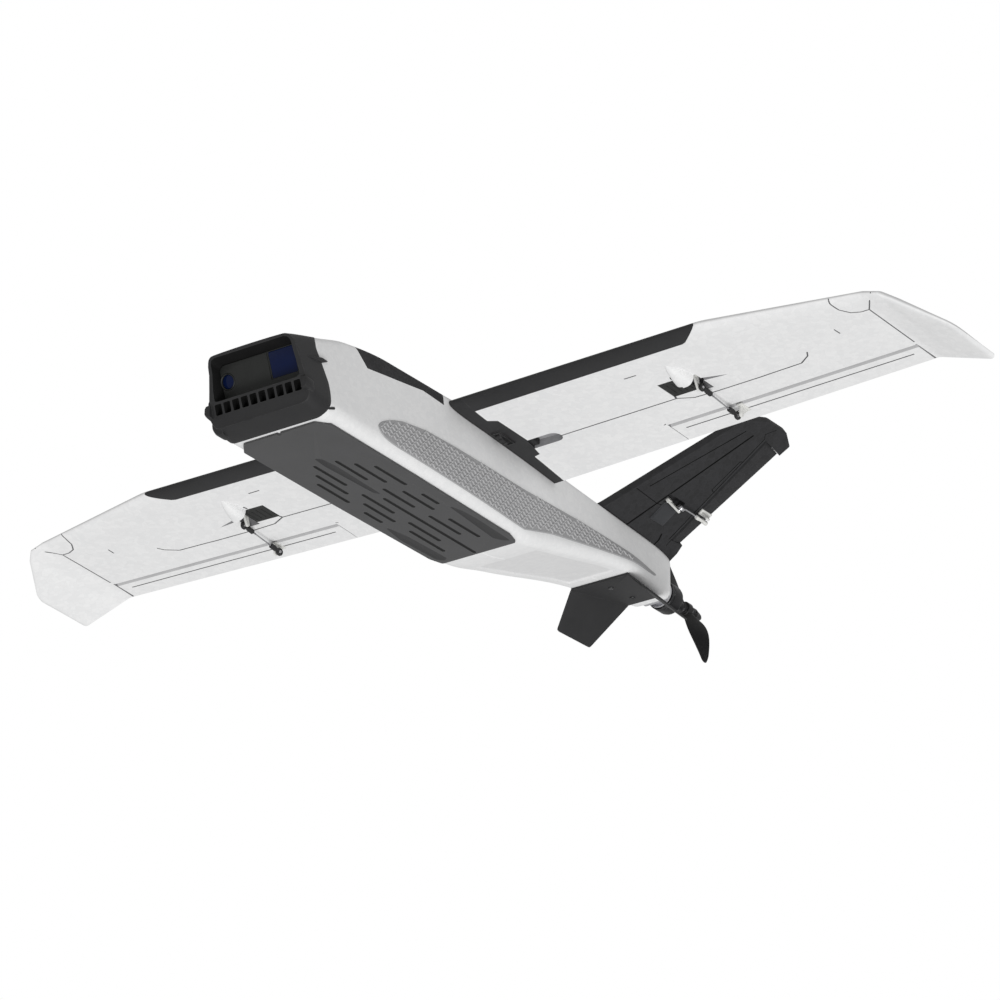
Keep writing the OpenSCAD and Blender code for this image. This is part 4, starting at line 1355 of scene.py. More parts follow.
    def _tread(self) -> list[Matrix]:
        """Places of the bars, which lean left and right in turn like a herringbone."""
        places = []
        pitch = self.tread_pitch
        rows = int(60 / pitch)
        for i in range(int((252 + 215) / pitch)):
            for j in range(rows):
                y = -214 + pitch * (i + 0.5)
                z = 8 + pitch * (j + 0.5)
                low, high = self._edges(y)
                if not low + 2.6 < z < high - 2.6:
                    continue
                lean = 45 if (i + j) % 2 else -45
                a = math.radians(lean)
                normal = self._skin_normal(y, z)
                along = Vector((0, math.cos(a), math.sin(a)))
                along = (along - normal * along.dot(normal)).normalized()
                turn = Matrix((along, normal.cross(along), normal)).transposed().to_4x4()
                places.append(Matrix.Translation(self._skin_point(y, z, self.grip_proud)) @ turn)
        return places


@dataclass
class SkidPlate:
    """Hard plate under the belly with drain grooves and leaf-shaped hollows."""

    palette: Palette
    edge: Points = ((37.9, -283.2), (47.1, -271.2), (46.5, -150), (44, -17), (39.9, -3))
    thick: float = 2.5
    groove_w: float = 3.1
    groove_deep: float = 1.3
    grooves: tuple[Triple, ...] = ((-13, -219, -174), (-22.5, -204, -160), (-32, -190, -146),
                                   (8.7, -217, -173), (19.2, -204, -160), (30.5, -191, -147),
                                   (-12.5, -153, -108), (-22.5, -138, -94), (-32.7, -124, -99),
                                   (9.4, -152, -108), (-1.8, -137, -6), (20.7, -139, -95),
                                   (31, -126, -102), (-13, -87, -42), (-22.8, -73, -23),
                                   (9.8, -88, -43), (20.6, -74, -30))
    leaves: tuple[Points, ...] = (
        ((-4, -231), (1, -226), (3.2, -210), (1.6, -144), (-2.6, -150), (-5.6, -212)),
        ((35.7, -96), (40, -80), (41, -62), (39, -9), (33, -14), (29, -22)),
        ((-36, -95), (-31, -64), (-29, -11), (-34, -8), (-39, -14), (-41, -62)))
    leaf_deep: float = 0.9

    def build(self) -> None:
        """Makes the plate."""
        outline = rounded([*self.edge, *[(-x, y) for x, y in reversed(self.edge)]], 3.0, 4)
        plate = soften(prism("skid_plate_shell", outline, 0.0, self.thick), 0.7, 2)
        notch = prism("notch", slot_outline((0, -284.5), (0, -282.4), 3.4), -1, 4)
        leaves = [self._bowl(rounded(leaf, 4, 4), self.leaf_deep) for leaf in self.leaves]
        dress(plate, self.palette["grey_plastic"])
        # the grooves' walls get a painted shadow, darker than the plate
        grooves = dress(self._groove_cutters(), self.palette["groove_black"])
        boolean(plate, [notch, *dark_cuts(leaves, self.palette["leaf_grey"]), grooves])
        sleek(plate, 25)
        publish(plate, "airframe", "grey_plastic", "skid_plate")

    @staticmethod
    def _bowl(outline: Outline, deep: float) -> Obj:
        """Cutter with sloping walls that leaves a shallow hollow in the underside.

        Args:
            outline: plan outline.
            deep: depth, in millimetres.

        Returns:
            The object.
        """
        cx = sum(p[0] for p in outline) / len(outline)
        cy = sum(p[1] for p in outline) / len(outline)

        def shrunk(k: float, z: float) -> list[Triple]:
            return [(cx + (x - cx) * k, cy + (y - cy) * (1 - (1 - k) * 0.4), z) for x, y in outline]

        return loft("bowl", [shrunk(1.04, -1.0), shrunk(1.0, 0.0), shrunk(0.78, deep)])

    def _groove_cutters(self) -> Obj:
        """All drain grooves as one cutter with sloping walls."""
        r = self.groove_w / 2
        level = [(1.25, -1.0), (1.12, 0.0), (0.72, self.groove_deep)]
        cutters = []
        for x, y0, y1 in self.grooves:
            rings = []
            for k, z in level:
                outline = slot_outline((x, y0 + r), (x, y1 - r), self.groove_w * k, 5)
                rings.append([(px, py, z) for px, py in outline])
            cutters.append(loft("groove", rings))
        return join("grooves", cutters)


@dataclass
class Nose:
    """Black nose cap with its camera face, windows, vents and side tabs."""

    palette: Palette
    pattern: Pattern
    fuselage: Fuselage
    front_lean: float = 0.42
    front_y: float = -329.5
    front_top: float = 64.0
    face_y: float = -317.0
    face_top: float = 62.0
    face_low: float = 29.5
    face_half: float = 42.0
    vent_low: float = 17.5
    vent_half: float = 44.5
    vent_count: int = 10
    vent_pitch: float = 9.4
    window: tuple[float, float, float, float] = (24.0, 49.6, 27.0, 23.0)
    sensor: Triple = (-35.4, 47.4, 12.6)

    def slant(self, y_at_top: float) -> Matrix:
        """Frame of the slanted front: X across, Y up the slant, Z out of the nose.

        Args:
            y_at_top: Y of the slant's top edge.

        Returns:
            The frame.
        """
        up = Vector((0, -self.front_lean, 1)).normalized()
        across = Vector((1, 0, 0))
        out = across.cross(up)
        return shift(0, y_at_top, self.face_top) @ Matrix((across, up, out)).transposed().to_4x4()

    def rise(self, z: float) -> float:
        """Distance along the slant from the face's top edge to a height."""
        return (z - self.face_top) * math.hypot(1, self.front_lean)

    def build(self) -> None:
        """Makes the cap and everything in it."""
        cap = self._cap()
        publish(sleek(cap, 30), "airframe", "black_plastic", "nose_cap")
        publish(self._face(), "airframe", "dark_grey_plastic", "camera_face")
        publish(self._vents(), "airframe", "black_plastic", "vent_grille")
        publish(self._square_window(), "airframe", "blue_glass", "camera_window")
        publish(self._round_window(), "airframe", "blue_glass", "sensor_window")
        publish(self._camera(), "airframe", "dark_grey_plastic", "camera_module")

    def _cap(self) -> Obj:
        """The hood: lofted shell, open slanted front, rear edge that leans with the foam."""
        places = [-329.5, -326, -322, -318, -314, -310, -306, -302, -298, -294, -290, -286, -282,
                  -278]
        cap = dress(HULL.solid("nose_cap_shell", places, 0.5), self.palette["black_plastic"])
        y0, lean = self.front_y, self.front_lean
        low_y = y0 + lean * (self.face_top - 10)
        front = prism("front", [(-350, self.front_top), (y0, self.front_top), (low_y, 10),
                                (low_y, -20), (-350, -20)], -90, 90, "x")
        curve = self.fuselage.front_curve(-0.15)
        back = prism("back", [*curve, (-250, 110), (-250, -20)], -90, 90, "x")
        cheek = [(-345, 64), (-329.3, 64), (-326.2, 60), (-321.8, 52), (-315.0, 31.4),
                 (-315.6, 28.8), (-345, 28.8)]
        cheeks = [prism("cheek", cheek, x0, x1, "x") for x0, x1 in ((38, 90), (-90, -38))]
        boolean(cap, [front, back, *dark_cuts(cheeks, self.palette["black_plastic"])])
        inner, face = (self._opening(y, 42.4, 42.2, 29.5, 61.6)
                       for y in (self.face_y + 3, self.face_y))
        rim = self._opening(self.front_y, 47.2, 42.6, 28.6, 62.6)
        ahead = self._opening(self.front_y - 14, 52.0, 43.0, 27.6, 63.7)
        # the mouth's walls get a near-black painted shadow for the shaded inside of the hood
        mouth = dress(loft("mouth", [inner, face, rim, ahead]), self.palette["hood_black"])
        room = block("room", (-33, -305, 14), (33, -270, 66))
        boolean(cap, [mouth, self._slots(), room])
        soften(cap, 0.6, 2, 40)
        parts = [self._tab(1), self._tab(-1), self._latch(), self._nub(), self._shelf_end(-1),
                 self._shelf_end(1)]
        return join("nose_cap_shell", [cap, *dark_cuts(parts, self.palette["black_plastic"])])

    def _opening(self, y_top: float, low_half: float, top_half: float, low: float,
                 top: float) -> list[Vector]:
        """Rounded opening outline in a slanted plane."""
        outline = rounded([(-low_half, low), (low_half, low), (top_half, top), (-top_half, top)],
                          5.5, 6)
        return [Vector((x, y_top + self.front_lean * (self.face_top - z), z)) for x, z in outline]

    def _slots(self) -> Obj:
        """Cutter for the row of vent slots through the chin."""
        w, t = self.vent_pitch * 0.76, 9.4
        slot = prism("slot", rounded(rect(-w / 2, -t / 2, w / 2, t / 2), 1.2, 3), -7.5, 9)
        frame_in = self.slant(self.front_y)
        spots = [frame_in @ shift((i - (self.vent_count - 1) / 2) * self.vent_pitch,
                                  self.rise(22.3), 0) for i in range(self.vent_count)]
        # the slots' walls get a near-black painted shadow
        return self.pattern.spread("slots", slot, spots, self.palette["hood_black"])

    def _shelf_end(self, sign: int) -> Obj:
        """Rounded end of the vent shelf that stands out from the cap's side.

        Args:
            sign: 1 for port, -1 for starboard.

        Returns:
            The object.
        """
        rings = []
        for t in np.linspace(0, 1, 7):
            y = -316.5 + 12 * t
            z = 22.5 - 1.5 * t
            x = HULL.side_x(y, z)
            out = 2.6 * math.sqrt(max(1 - t * t, 0.0)) + 0.2
            rings.append([(sign * (x - 3), y, z - 5.6), (sign * (x + out * 0.55), y, z - 5.0),
                          (sign * (x + out), y, z - 2.5), (sign * (x + out), y, z + 2.0),
                          (sign * (x + out * 0.55), y, z + 4.2), (sign * (x - 3), y, z + 4.8)])
        return soften(loft("shelf_end", rings), 0.5, 2)

    def _latch(self) -> Obj:
        """Curved latch that wraps the lower starboard corner."""
        low, _, belly, _, _, r = HULL.at(-299)
        rings = []
        for a in np.linspace(-82, 14, 12):
            c, s = math.cos(math.radians(a)), math.sin(math.radians(a))
            swell = 3.6 * math.sin(math.pi * (a + 92) / 120) ** 0.6
            rings.append([(-(low - r + (r + d) * c), y, belly + r + (r + d) * s) for y,
                          d in ((-305, -1.5), (-304, swell * 0.7), (-301, swell), (-293, swell),
                                (-290.5, swell * 0.6), (-290, -1.5))])
        return soften(loft("latch", rings), 0.4, 2)

    @staticmethod
    def _nub() -> Obj:
        """Small locating peg behind the lower port corner."""
        x = HULL.side_x(-282, 11)
        return tube("nub", [(x - 2.5, -286, 9.2), (x + 0.2, -281, 10.6), (x + 0.4, -277.6, 11.8)],
                    1.1, 12)

    def _tab(self, sign: int) -> Obj:
        """Pointed tab on the side that reaches back over the foam.

        Args:
            sign: 1 for port, -1 for starboard.

        Returns:
            The object.
        """
        rings = []
        for t in (0.0, 0.3, 0.55, 0.75, 0.9, 1.0):
            y = -311 + 30 * t
            z = 49.0 + 7.2 * t
            tall = float(np.interp(t, (0, 0.55, 0.75, 1), (0.8, 2.6, 3.6, 0.3)))
            x = HULL.side_x(y, z)
            deep = float(np.interp(t, (0, 0.6, 1), (0.3, 2.2, 1.0)))
            rings.append([(sign * (x - 1.5), y, z - tall), (sign * (x + deep), y, z - tall * 0.6),
                          (sign * (x + deep * 1.1), y, z + tall * 0.35),
                          (sign * (x - 1.5), y, z + tall)])
        return soften(loft("tab", rings), 0.35, 2)

    def _face(self) -> Obj:
        """Recessed face plate with a step round each window and a joint line below."""
        slant = self.slant(self.face_y)
        half = self.face_half
        top, low = self.rise(self.face_top - 1.2), self.rise(self.face_low + 0.2)
        outline = rounded([(-half, low), (half, low), (half - 0.5, top), (-half + 0.5, top)], 6.2,
                          6)
        plate = prism("camera_face_plate", outline, -3, 0, "z", slant)
        plate = soften(plate, 0.5)
        cx, cz, w, h = self.window
        cy = self.rise(cz)
        square = rect(cx - w / 2, cy - h / 2, cx + w / 2, cy + h / 2)
        wide = [(cx + (x - cx) * 1.10, cy + (y - cy) * 1.11) for x, y in square]
        sx, sz, d = self.sensor
        sy = self.rise(sz)
        cuts = [prism("a", rounded(square, 1.2, 3), -10, 5, "z", slant),
                prism("b", rounded(wide, 1.6, 3), -0.7, 5, "z", slant),
                prism("c", arc(sx, sy, d / 2, 0, 352.5, 47), -10, 5, "z", slant),
                prism("d", arc(sx, sy, d / 2 + 1.4, 0, 352.5, 47), -0.8, 5, "z", slant)]
        boolean(plate, cuts)
        step = prism("ledge", slot_outline((-half + 4, low + 1.6), (half - 4, low + 1.6), 1.1),
                     -0.2, 0.55, "z", slant)
        ring = lathe("bezel", [(d / 2 - 0.1, -1.0), (d / 2 + 1.1, -1.0), (d / 2 + 1.1, 0.2),
                               (d / 2 + 0.5, 0.7), (d / 2 - 0.1, 0.1)], slant @ shift(sx, sy, 0),
                     48)
        return sleek(dress(join("camera_face_plate", [plate, step, ring]),
                           self.palette["dark_grey_plastic"]), 30)

    def _vents(self) -> Obj:
        """Grille behind the slots: a plate with a fine rib across each opening, painted near black
        as the shadow inside the vents.
        """
        slant = self.slant(self.face_y + 5)
        vlow, vtop = self.rise(self.vent_low + 1), self.rise(self.face_low - 0.5)
        h = self.vent_half
        plate = prism("vent_grille_bars", rect(-h, vlow, h, vtop), -4, -1.2, "z", slant)
        spots = [slant @ shift((i - (self.vent_count - 1) / 2) * self.vent_pitch,
                               (vlow + vtop) / 2 + d, -1.5) for i in range(self.vent_count)
                 for d in (-1.8, 1.8)]
        ribs = self.pattern.spread("ribs", block("rib", (-3.4, -0.35, 0), (3.4, 0.35, 1.2)), spots)
        return sleek(dress(join("vent_grille_bars", [plate, ribs]), self.palette["hood_black"]), 30)

    def _square_window(self) -> Obj:
        """Tinted square window with a bevelled edge."""
        cx, cz, w, h = self.window
        slant = self.slant(self.face_y)
        cy, a, b = self.rise(cz), w / 2 - 0.15, h / 2 - 0.15
        pane = prism("camera_window_pane", rounded(rect(cx - a, cy - b, cx + a, cy + b), 1.0, 3),
                     -2.4, -0.8, "z", slant)
        return sleek(dress(soften(pane, 0.3), self.palette["blue_glass"]), 30)

    def _round_window(self) -> Obj:
        """Domed round window."""
        sx, sz, d = self.sensor
        place = self.slant(self.face_y) @ shift(sx, self.rise(sz), 0)
        r = d / 2 - 0.1
        dome = [(POLE, -2.6), (r, -2.6), (r, -1.2)] + [(r * math.cos(a), -1.2 + 1.5 * math.sin(a))
                                                       for a in np.linspace(0.1, 1.5, 8)] + [(POLE,
                                                                                              0.3)]
        return sleek(dress(lathe("sensor_window_pane", dome, place, 48),
                           self.palette["blue_glass"]), 30)

    def _camera(self) -> Obj:
        """Camera board and lens barrel behind the square window."""
        low, high = (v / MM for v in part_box("camera_module"))
        cx, cz = high.x - 9, (low.z + high.z) / 2
        back = low.y + 4.5
        body = block("camera_module_body", (low.x, back, low.z), high, edge=0.8)
        place = shift(cx, back, cz) @ Euler((math.pi / 2, 0, 0)).to_matrix().to_4x4()
        barrel = lathe("barrel", [(POLE, -0.5), (7, -0.5), (7, 1.6), (6.2, 1.8), (6.2, 3.2),
                                  (7, 3.4), (7, 4.5), (5.4, 4.5), (4.4, 2.6), (POLE, 2.2)], place,
                       40)
        return sleek(dress(join("camera_module_body", [body, barrel]),
                           self.palette["dark_grey_plastic"]), 30)


@dataclass
class Canopy:
    """Black foam hatch over the equipment bay."""

    palette: Palette
    fuselage: Fuselage
    gap: float = 0.35
    room: tuple[float, ...] = (-29, -213, 60, 29, -133.5, 96)

    def build(self) -> None:
        """Makes the hatch with a finger notch at its rear edge."""
        g = self.gap
        outline = [(-243 + g, 130), (-239 + g, 96), (-222 + g, 76 + g), (-144.5, 87.5 + g),
                   (-115.5 - g, 85.5 + g), (-115.5 - g, 130)]
        hull = HULL.solid("canopy_hatch", list(np.linspace(-246, -112, 30)), 0.0, 0.0)
        zone = prism("zone", outline, -80, 80, "x")
        boolean(hull, [zone], "INTERSECT")
        room = block("room", self.room[:3], self.room[3:])
        groove = self._groove()
        notch = ball("notch", (0, -117, 109), 17)
        boolean(hull, [room, notch, *groove])
        sleek(dress(hull, self.palette["black_foam"]), 28)
        publish(hull, "canopy", "black_foam", "canopy")

    @staticmethod
    def _groove() -> list[Obj]:
        """Two shallow grooves that run along the hatch's top."""
        cuts = []
        for sign in (-1, 1):
            path = []
            for y in np.linspace(-232, -124, 22):
                crown = HULL.half(float(y))
                x = 22.0
                z = float(np.interp(-x, [-p[0] for p in crown[-14:]], [p[1] for p in crown[-14:]]))
                path.append((sign * x, float(y), z + 0.35))
            cuts.append(tube("groove", path, 1.0, 8))
        return cuts


# ---------------------------------------------------------------------------------------
# Control linkages
# ---------------------------------------------------------------------------------------
@dataclass
class Linkage:
    """Servo arm, rod and horn in a hinge frame: X along the hinge, Y behind it, Z above it.

    Attributes:
        place: the hinge frame, in millimetres.
        x: plane of the linkage along the hinge.
        reach: from the servo shaft to the hinge axis, along Y and Z.
    """

    palette: Palette
    place: Matrix
    x: float
    reach: Pair
    horn_back: float = 5.5
    horn_drop: float = 12.5
    arm_inner: float = 4.9
    ball: float = 4.0

    @property
    def pivot(self) -> Pair:
        """The servo shaft."""
        return -self.reach[0], -self.reach[1]

    @property
    def near(self) -> Pair:
        """Ball on the servo arm."""
        return self.pivot[0] + self.horn_back, self.pivot[1] - self.horn_drop

    @property
    def far(self) -> Pair:
        """Ball on the horn."""
        return self.horn_back, -self.horn_drop

    def _along_x(self, y: float, z: float, x: float) -> Matrix:
        """Frame at a point, with its Z axis along the hinge."""
        return self.place @ shift(x, y, z) @ spin(90, "Y")

    def _stud(self, x0: float, at: Pair) -> Obj:
        """Ball on a stud that stands out of a lever.

        Args:
            x0: plane that the stud stands on.
            at: centre of the ball, along Y and Z.

        Returns:
            The object.
        """
        r, foot = self.ball / 2, x0 - self.x
        sign = 1 if x0 < self.x else -1
        profile = [(POLE, foot), (1.7, foot), (1.7, foot + 0.8 * sign), (1.0, foot + 0.8 * sign)]
        if sign > 0:
            profile.append((1.0, -r * 0.86))
        dome = [(r * math.cos(a), sign * r * math.sin(a)) for a in np.linspace(-1.04, 1.45, 12)]
        return lathe("stud", profile + dome + [(POLE, sign * r)], self._along_x(*at, self.x), 24)

    def arm(self, name: str) -> Obj:
        """Servo arm with its hub, ball stud and spare holes.

        Args:
            name: name of what is made.

        Returns:
            The object.
        """
        (py, pz), (by, bz) = self.pivot, self.near
        x0 = self.x - self.arm_inner
        length = math.hypot(by - py, bz - pz)
        turn = math.atan2(bz - pz, by - py)
        flat = self.place @ shift(0, py, pz) @ Matrix.Rotation(turn, 4, "X")
        wide, tip = 3.5, 2.0
        lean = math.degrees(math.acos((wide - tip) / length))
        outline = arc(0, 0, wide, lean, 360 - lean, 18) + arc(length, 0, tip, -lean, lean, 8)
        lever = prism("lever", outline, x0, x0 + 2.0, "x", flat)
        holes = [tube("hole", [flat @ Vector((x0 - 1, length * f, 0)),
                               flat @ Vector((x0 + 3, length * f, 0))], 0.5, 10)
                 for f in (0.45, 0.62, 0.79)]
        soften(boolean(lever, holes), 0.25, 2)
        hub = lathe("hub", [(1.65, -0.2), (3.3, -0.2), (3.3, 2.6), (2.9, 3.0), (1.65, 3.0)],
                    self._along_x(py, pz, x0), 28)
        nylon = dress(join(name, [lever, hub]), self.palette["white_nylon"])
        stud = dress(self._stud(x0 + 1.9, self.near), self.palette["steel"])
        return sleek(join(name, [nylon, stud]), 32)

    def _socket(self, at: Pair) -> Obj:
        """Ball-link eye: a ring that bulges round the ball."""
        profile = [(2.3, -1.7), (3.0, -1.7), (3.7, -0.8), (3.7, 0.8), (3.0, 1.7), (2.3, 1.7),
                   (2.35, 0)]
        return lathe("socket", profile, self._along_x(*at, self.x), 28)

    def _rod_point(self, s: float, off: float = 0.0) -> Vector:
        """A point along the rod from the arm's ball, moved off it at right angles.

        Args:
            s: distance from the arm's ball.
            off: distance to the side.

        Returns:
            The point.
        """
        d = Vector((0, self.reach[0], self.reach[1])).normalized()
        side = Vector((0, -d.z, d.y))
        return self.place @ (Vector((self.x, *self.near)) + d * s + side * off)

    def ball_rod(self, name: str, plastic: str) -> Obj:
        """Pushrod with a ball-link socket at each end.

        Args:
            name: object name.
            plastic: finish of the sockets.

        Returns:
            The rod.
        """
        span = math.hypot(*self.reach)
        parts = []
        for at, start, end in ((self.near, 2.9, 13.0), (self.far, span - 2.9, span - 13.0)):
            sign = 1 if end > start else -1
            parts.append(self._socket(at))
            neck = [(start, 1.4), (start + 1.5 * sign, 1.7), (start + 3.5 * sign, 2.35),
                    (end - 0.6 * sign, 2.35), (end, 1.9)]
            rings = []
            for s, r in neck:
                rings.append([self._rod_point(s, r * math.sin(a)) + self.place.to_3x3()
                              @ Vector((r * math.cos(a), 0, 0))
                              for a in (2 * math.pi * j / 16 for j in range(16))])
            parts.append(loft("stem", rings))
        body = dress(join(name, parts), self.palette[plastic])
        wire = tube("wire", [self._rod_point(s) for s in np.linspace(11.5, span - 11.5, 8)], 0.7,
                    12)
        thread = [tube("thread", [self._rod_point(s), self._rod_point(s + 0.25)], 0.86, 12)
                  for s in [*np.arange(13.2, 17, 0.5), *np.arange(span - 17, span - 13.2, 0.5)]]
        metal = dress(join("wire", [wire, *thread]), self.palette["steel"])
        return sleek(join(name, [body, metal]), 35)

    def clevis_rod(self, name: str, bend: float = 0.0) -> Obj:
        """Wire pushrod with a bent eye at the arm and a forked clevis at the horn.

        Args:
            name: object name.
            bend: side offset of the wire's long middle part.

        Returns:
            The rod.
        """
        span = math.hypot(*self.reach)
        path = [self._rod_point(s, o) for s,
                o in ((2.6, 0), (4.2, 0), (5.4, 0.4 * bend), (7.4, bend), (9.5, bend),
                      (span - 15.5, bend), (span - 13.5, 0.5 * bend), (span - 11, 0))]
        wire = tube("wire", path, 0.8, 12)
        eye = self._socket(self.near)
        metal = dress(join(name, [wire, eye]), self.palette["steel"])
        fork = [self._socket(self.far)]
        for s0, s1, w in ((span - 13, span - 8.5, 1.6), (span - 9, span - 2.9, 1.3)):
            rings = []
            for s in (s0, (s0 + s1) / 2, s1):
                rings.append([self._rod_point(s, w * b) + self.place.to_3x3()
                              @ Vector((w * a, 0, 0)) for a,
                              b in ((-1, -1), (1, -1), (1, 1), (-1, 1))])
            fork.append(soften(loft("fork", rings), 0.35, 2))
        nylon = dress(join("clevis", fork), self.palette["white_nylon"])
        return sleek(join(name, [metal, nylon]), 35)

    def horn(self, name: str, foot: float, plastic: str) -> Obj:
        """Control horn: foot under the surface, tall pierced blade and ball.

        Args:
            name: object name.
            foot: height of the surface that the foot sits on.
            plastic: finish of the horn.

        Returns:
            The horn.
        """
        x0, x1 = self.x + 3.4, self.x + 5.0
        fy, fz = self.far
        outline = rounded([(2.4, foot), (15.6, foot), (14.6, foot - 1.6), (fy + 2.4, fz + 0.6),
                           (fy + 2.2, fz - 1.2), (fy, fz - 2.4), (fy - 2.2, fz - 1.2),
                           (fy - 2.4, fz + 0.8), (3.2, foot - 1.6)], 0.9, 3)
        blade = prism("blade", outline, x0, x1, "x", self.place)
        bores = [tube("bore", [self.place @ Vector((x0 - 1, y, z)),
                               self.place @ Vector((x1 + 1, y, z))], 0.55, 12) for y,
                 z in ((fy + 1.2, fz + 3.4), (fy + 2.3, fz + 5.9))]
        soften(boolean(blade, bores), 0.22, 2)
        base = block("base", (x0 - 2.2, 1.6, foot - 1.2), (x1 + 2.2, 16.4, foot + 0.6), self.place,
                     0.5)
        boss = lathe("boss", [(POLE, 0), (2.5, 0), (2.5, 1.5), (2.1, 1.9), (POLE, 1.9)],
                     self._along_x(fy, fz, x0 - 0.1), 24)
        body = dress(join(name, [blade, base, boss]), self.palette[plastic])
        stud = dress(self._stud(x0 + 0.2, self.far), self.palette["steel"])
        return sleek(join(name, [body, stud]), 32)


# ---------------------------------------------------------------------------------------
# Wings
# ---------------------------------------------------------------------------------------
def publish_sides(pieces: Sequence[tuple[str, str, str, Obj]]) -> None:
    """Hands over each left shape and its mirror image, then drops the shapes.

    Args:
        pieces: body, node, slot and left shape; every body but the airframe has a side.
    """
    for side in Side:
        for body, node, slot, shape in pieces:
            name = f"{node}_{side.word}_skin"
            obj = copy_of(shape, name) if side is Side.LEFT else mirrored(shape, name)
            publish(obj, body if body == "airframe" else f"{side.word}_{body}", slot,
                    f"{node}_{side.word}")
    for *_, shape in pieces:
        bpy.data.objects.remove(shape)


@dataclass(frozen=True)
class WingSurface:
    """The left wing's outer surface.

    A station is x, leading edge y and z, trailing edge y and z of the chord line, thickness
    and camber as fractions of the chord.
    """

    dihedral: float = math.tan(math.radians(1.0))
    edge: float = 1.2
    camber_at: float = 0.4
    steps: int = 40

    @property
    def stations(self) -> list[tuple[float, ...]]:
        """The stations from root to tip."""
        rise = [(x - 181.4) * self.dihedral for x in (30, 300)]
        return [(30, -108.5, 93.4 + rise[0], 56, 85.5 + rise[0], 0.105, 0.035),
                (300, -107.0, 92.6 + rise[1], 51, 85.5 + rise[1], 0.105, 0.035),
                (306, -106.2, 92.8 + rise[1], 50.9, 85.7 + rise[1], 0.105, 0.035),
                (443, -75.5, 96.4, 48.4, 90.3, 0.10, 0.03),
                (446, -75.2, 96.2, 48.3, 89.8, 0.10, 0.03),
                (461, -73.5, 93.0, 48.6, 85.1, 0.09, 0.028),
                (470, -64, 89.2, 48.8, 82.3, 0.088, 0.025),
                (497, -21, 77.8, 49.4, 74.0, 0.08, 0.02), (500, -13, 76.4, 49.4, 73.2, 0.06, 0.02)]

    def station(self, x: float) -> np.ndarray:
        """Station values at a span position."""
        knots = [s[0] for s in self.stations]
        return np.array([np.interp(x, knots, [s[i] for s in self.stations]) for i in range(1, 7)])

    def point(self, x: float, u: float, up: int, grow: float = 0.0) -> Vector:
        """A point of the surface.

        Args:
            x: span position.
            u: fraction of the chord from the leading edge.
            up: 1 for the upper side, -1 for the lower.
            grow: how far the point stands off.

        Returns:
            The point.
        """
        y0, z0, y1, z1, t, m = self.station(min(max(x, 30), 500))
        c, p = y1 - y0, self.camber_at
        line = m / p**2 * (2 * p * u - u * u) if u < p else m / (1 - p)**2 * (1 - 2 * p + 2 * p * u
                                                                              - u * u)
        half = 5 * t * (0.2969 * math.sqrt(u) - 0.126 * u - 0.3516 * u**2 + 0.2843 * u**3 - 0.1015
                        * u**4)
        return Vector((x, y0 + c * u,
                       z0 + (z1 - z0) * u + c * (line + up * half) + up
                       * (self.edge / 2 * u + grow)))

    def under(self, x: float, y: float, deep: float = 0.0) -> Vector:
        """The point of the underside below a plan position, moved into the wing by a depth.

        Args:
            x: span position.
            y: place along the chord.
            deep: depth, in millimetres.

        Returns:
            The point.
        """
        y0, y1 = self.station(x)[0], self.station(x)[2]
        u = min(max((y - y0) / (y1 - y0), 0.0), 1.0)
        return self.point(x, u, -1, -deep)

    def ring(self, x: float, shrink: float = 0.0) -> list[Vector]:
        """Outline of one station, shrunk towards its chord line by a fraction.

        Args:
            x: span position.
            shrink: fraction to shrink by.

        Returns:
            The points.
        """
        n = self.steps
        us = [(1 - math.cos(math.pi * i / n)) / 2 for i in range(n + 1)]
        ring = [self.point(x, u, 1) for u in us[::-1]] + [self.point(x, u, -1) for u in us[1:]]
        if shrink:
            mid = self.point(x, 0.42, 1).lerp(self.point(x, 0.42, -1), 0.5)
            for p in ring:
                p.z = mid.z + (p.z - mid.z) * (1 - shrink)
                p.y = mid.y + (p.y - mid.y) * (1 - shrink * 0.12)
        return ring

    def solid(self, name: str) -> Obj:
        """The whole wing as one solid with a rounded tip.

        Args:
            name: name of what is made.

        Returns:
            The object.
        """
        spans = [*np.linspace(30, 300, 46), *np.linspace(303, 443, 36), 446,
                 *np.linspace(449, 494, 16)]
        rings = [self.ring(float(x)) for x in spans]
        rings += [self.ring(494 + 6 * math.sin(a), 1 - math.cos(a))
                  for a in np.linspace(0.15, 1.45, 9)]
        return loft(name, rings)


WING = WingSurface()
HINGE = (shift(181.4, 22.5, 89.5) @ spin(-1, "Y")
         @ spin(-0.5, "Z"))


def below(outline: Outline, deep: float, low: float = 40.0) -> Obj:
    """Cutter that removes everything under a plan outline up to a depth inside the underside."""
    return loft("below", [[(x, y, low) for x, y in outline],
                          [tuple(WING.under(x, y, deep)) for x, y in outline]])


def scored(path: Outline, width: float, deep: float) -> list[Obj]:
    """Cutters for a thin groove along a plan path on the underside.

    Args:
        path: points that it follows.
        width: width, in millimetres.
        deep: depth, in millimetres.

    Returns:
        The cutters.
    """
    cuts = []
    for a, b in zip(path[:-1], path[1:]):
        length = math.hypot(b[0] - a[0], b[1] - a[1])
        steps = max(2, int(length / 12))
        spots = [WING.under(a[0] + (b[0] - a[0]) * i / steps, a[1] + (b[1] - a[1]) * i / steps,
                            deep - width / 2) for i in range(steps + 1)]
        cuts.append(tube("score", spots, width / 2, 8))
    return cuts


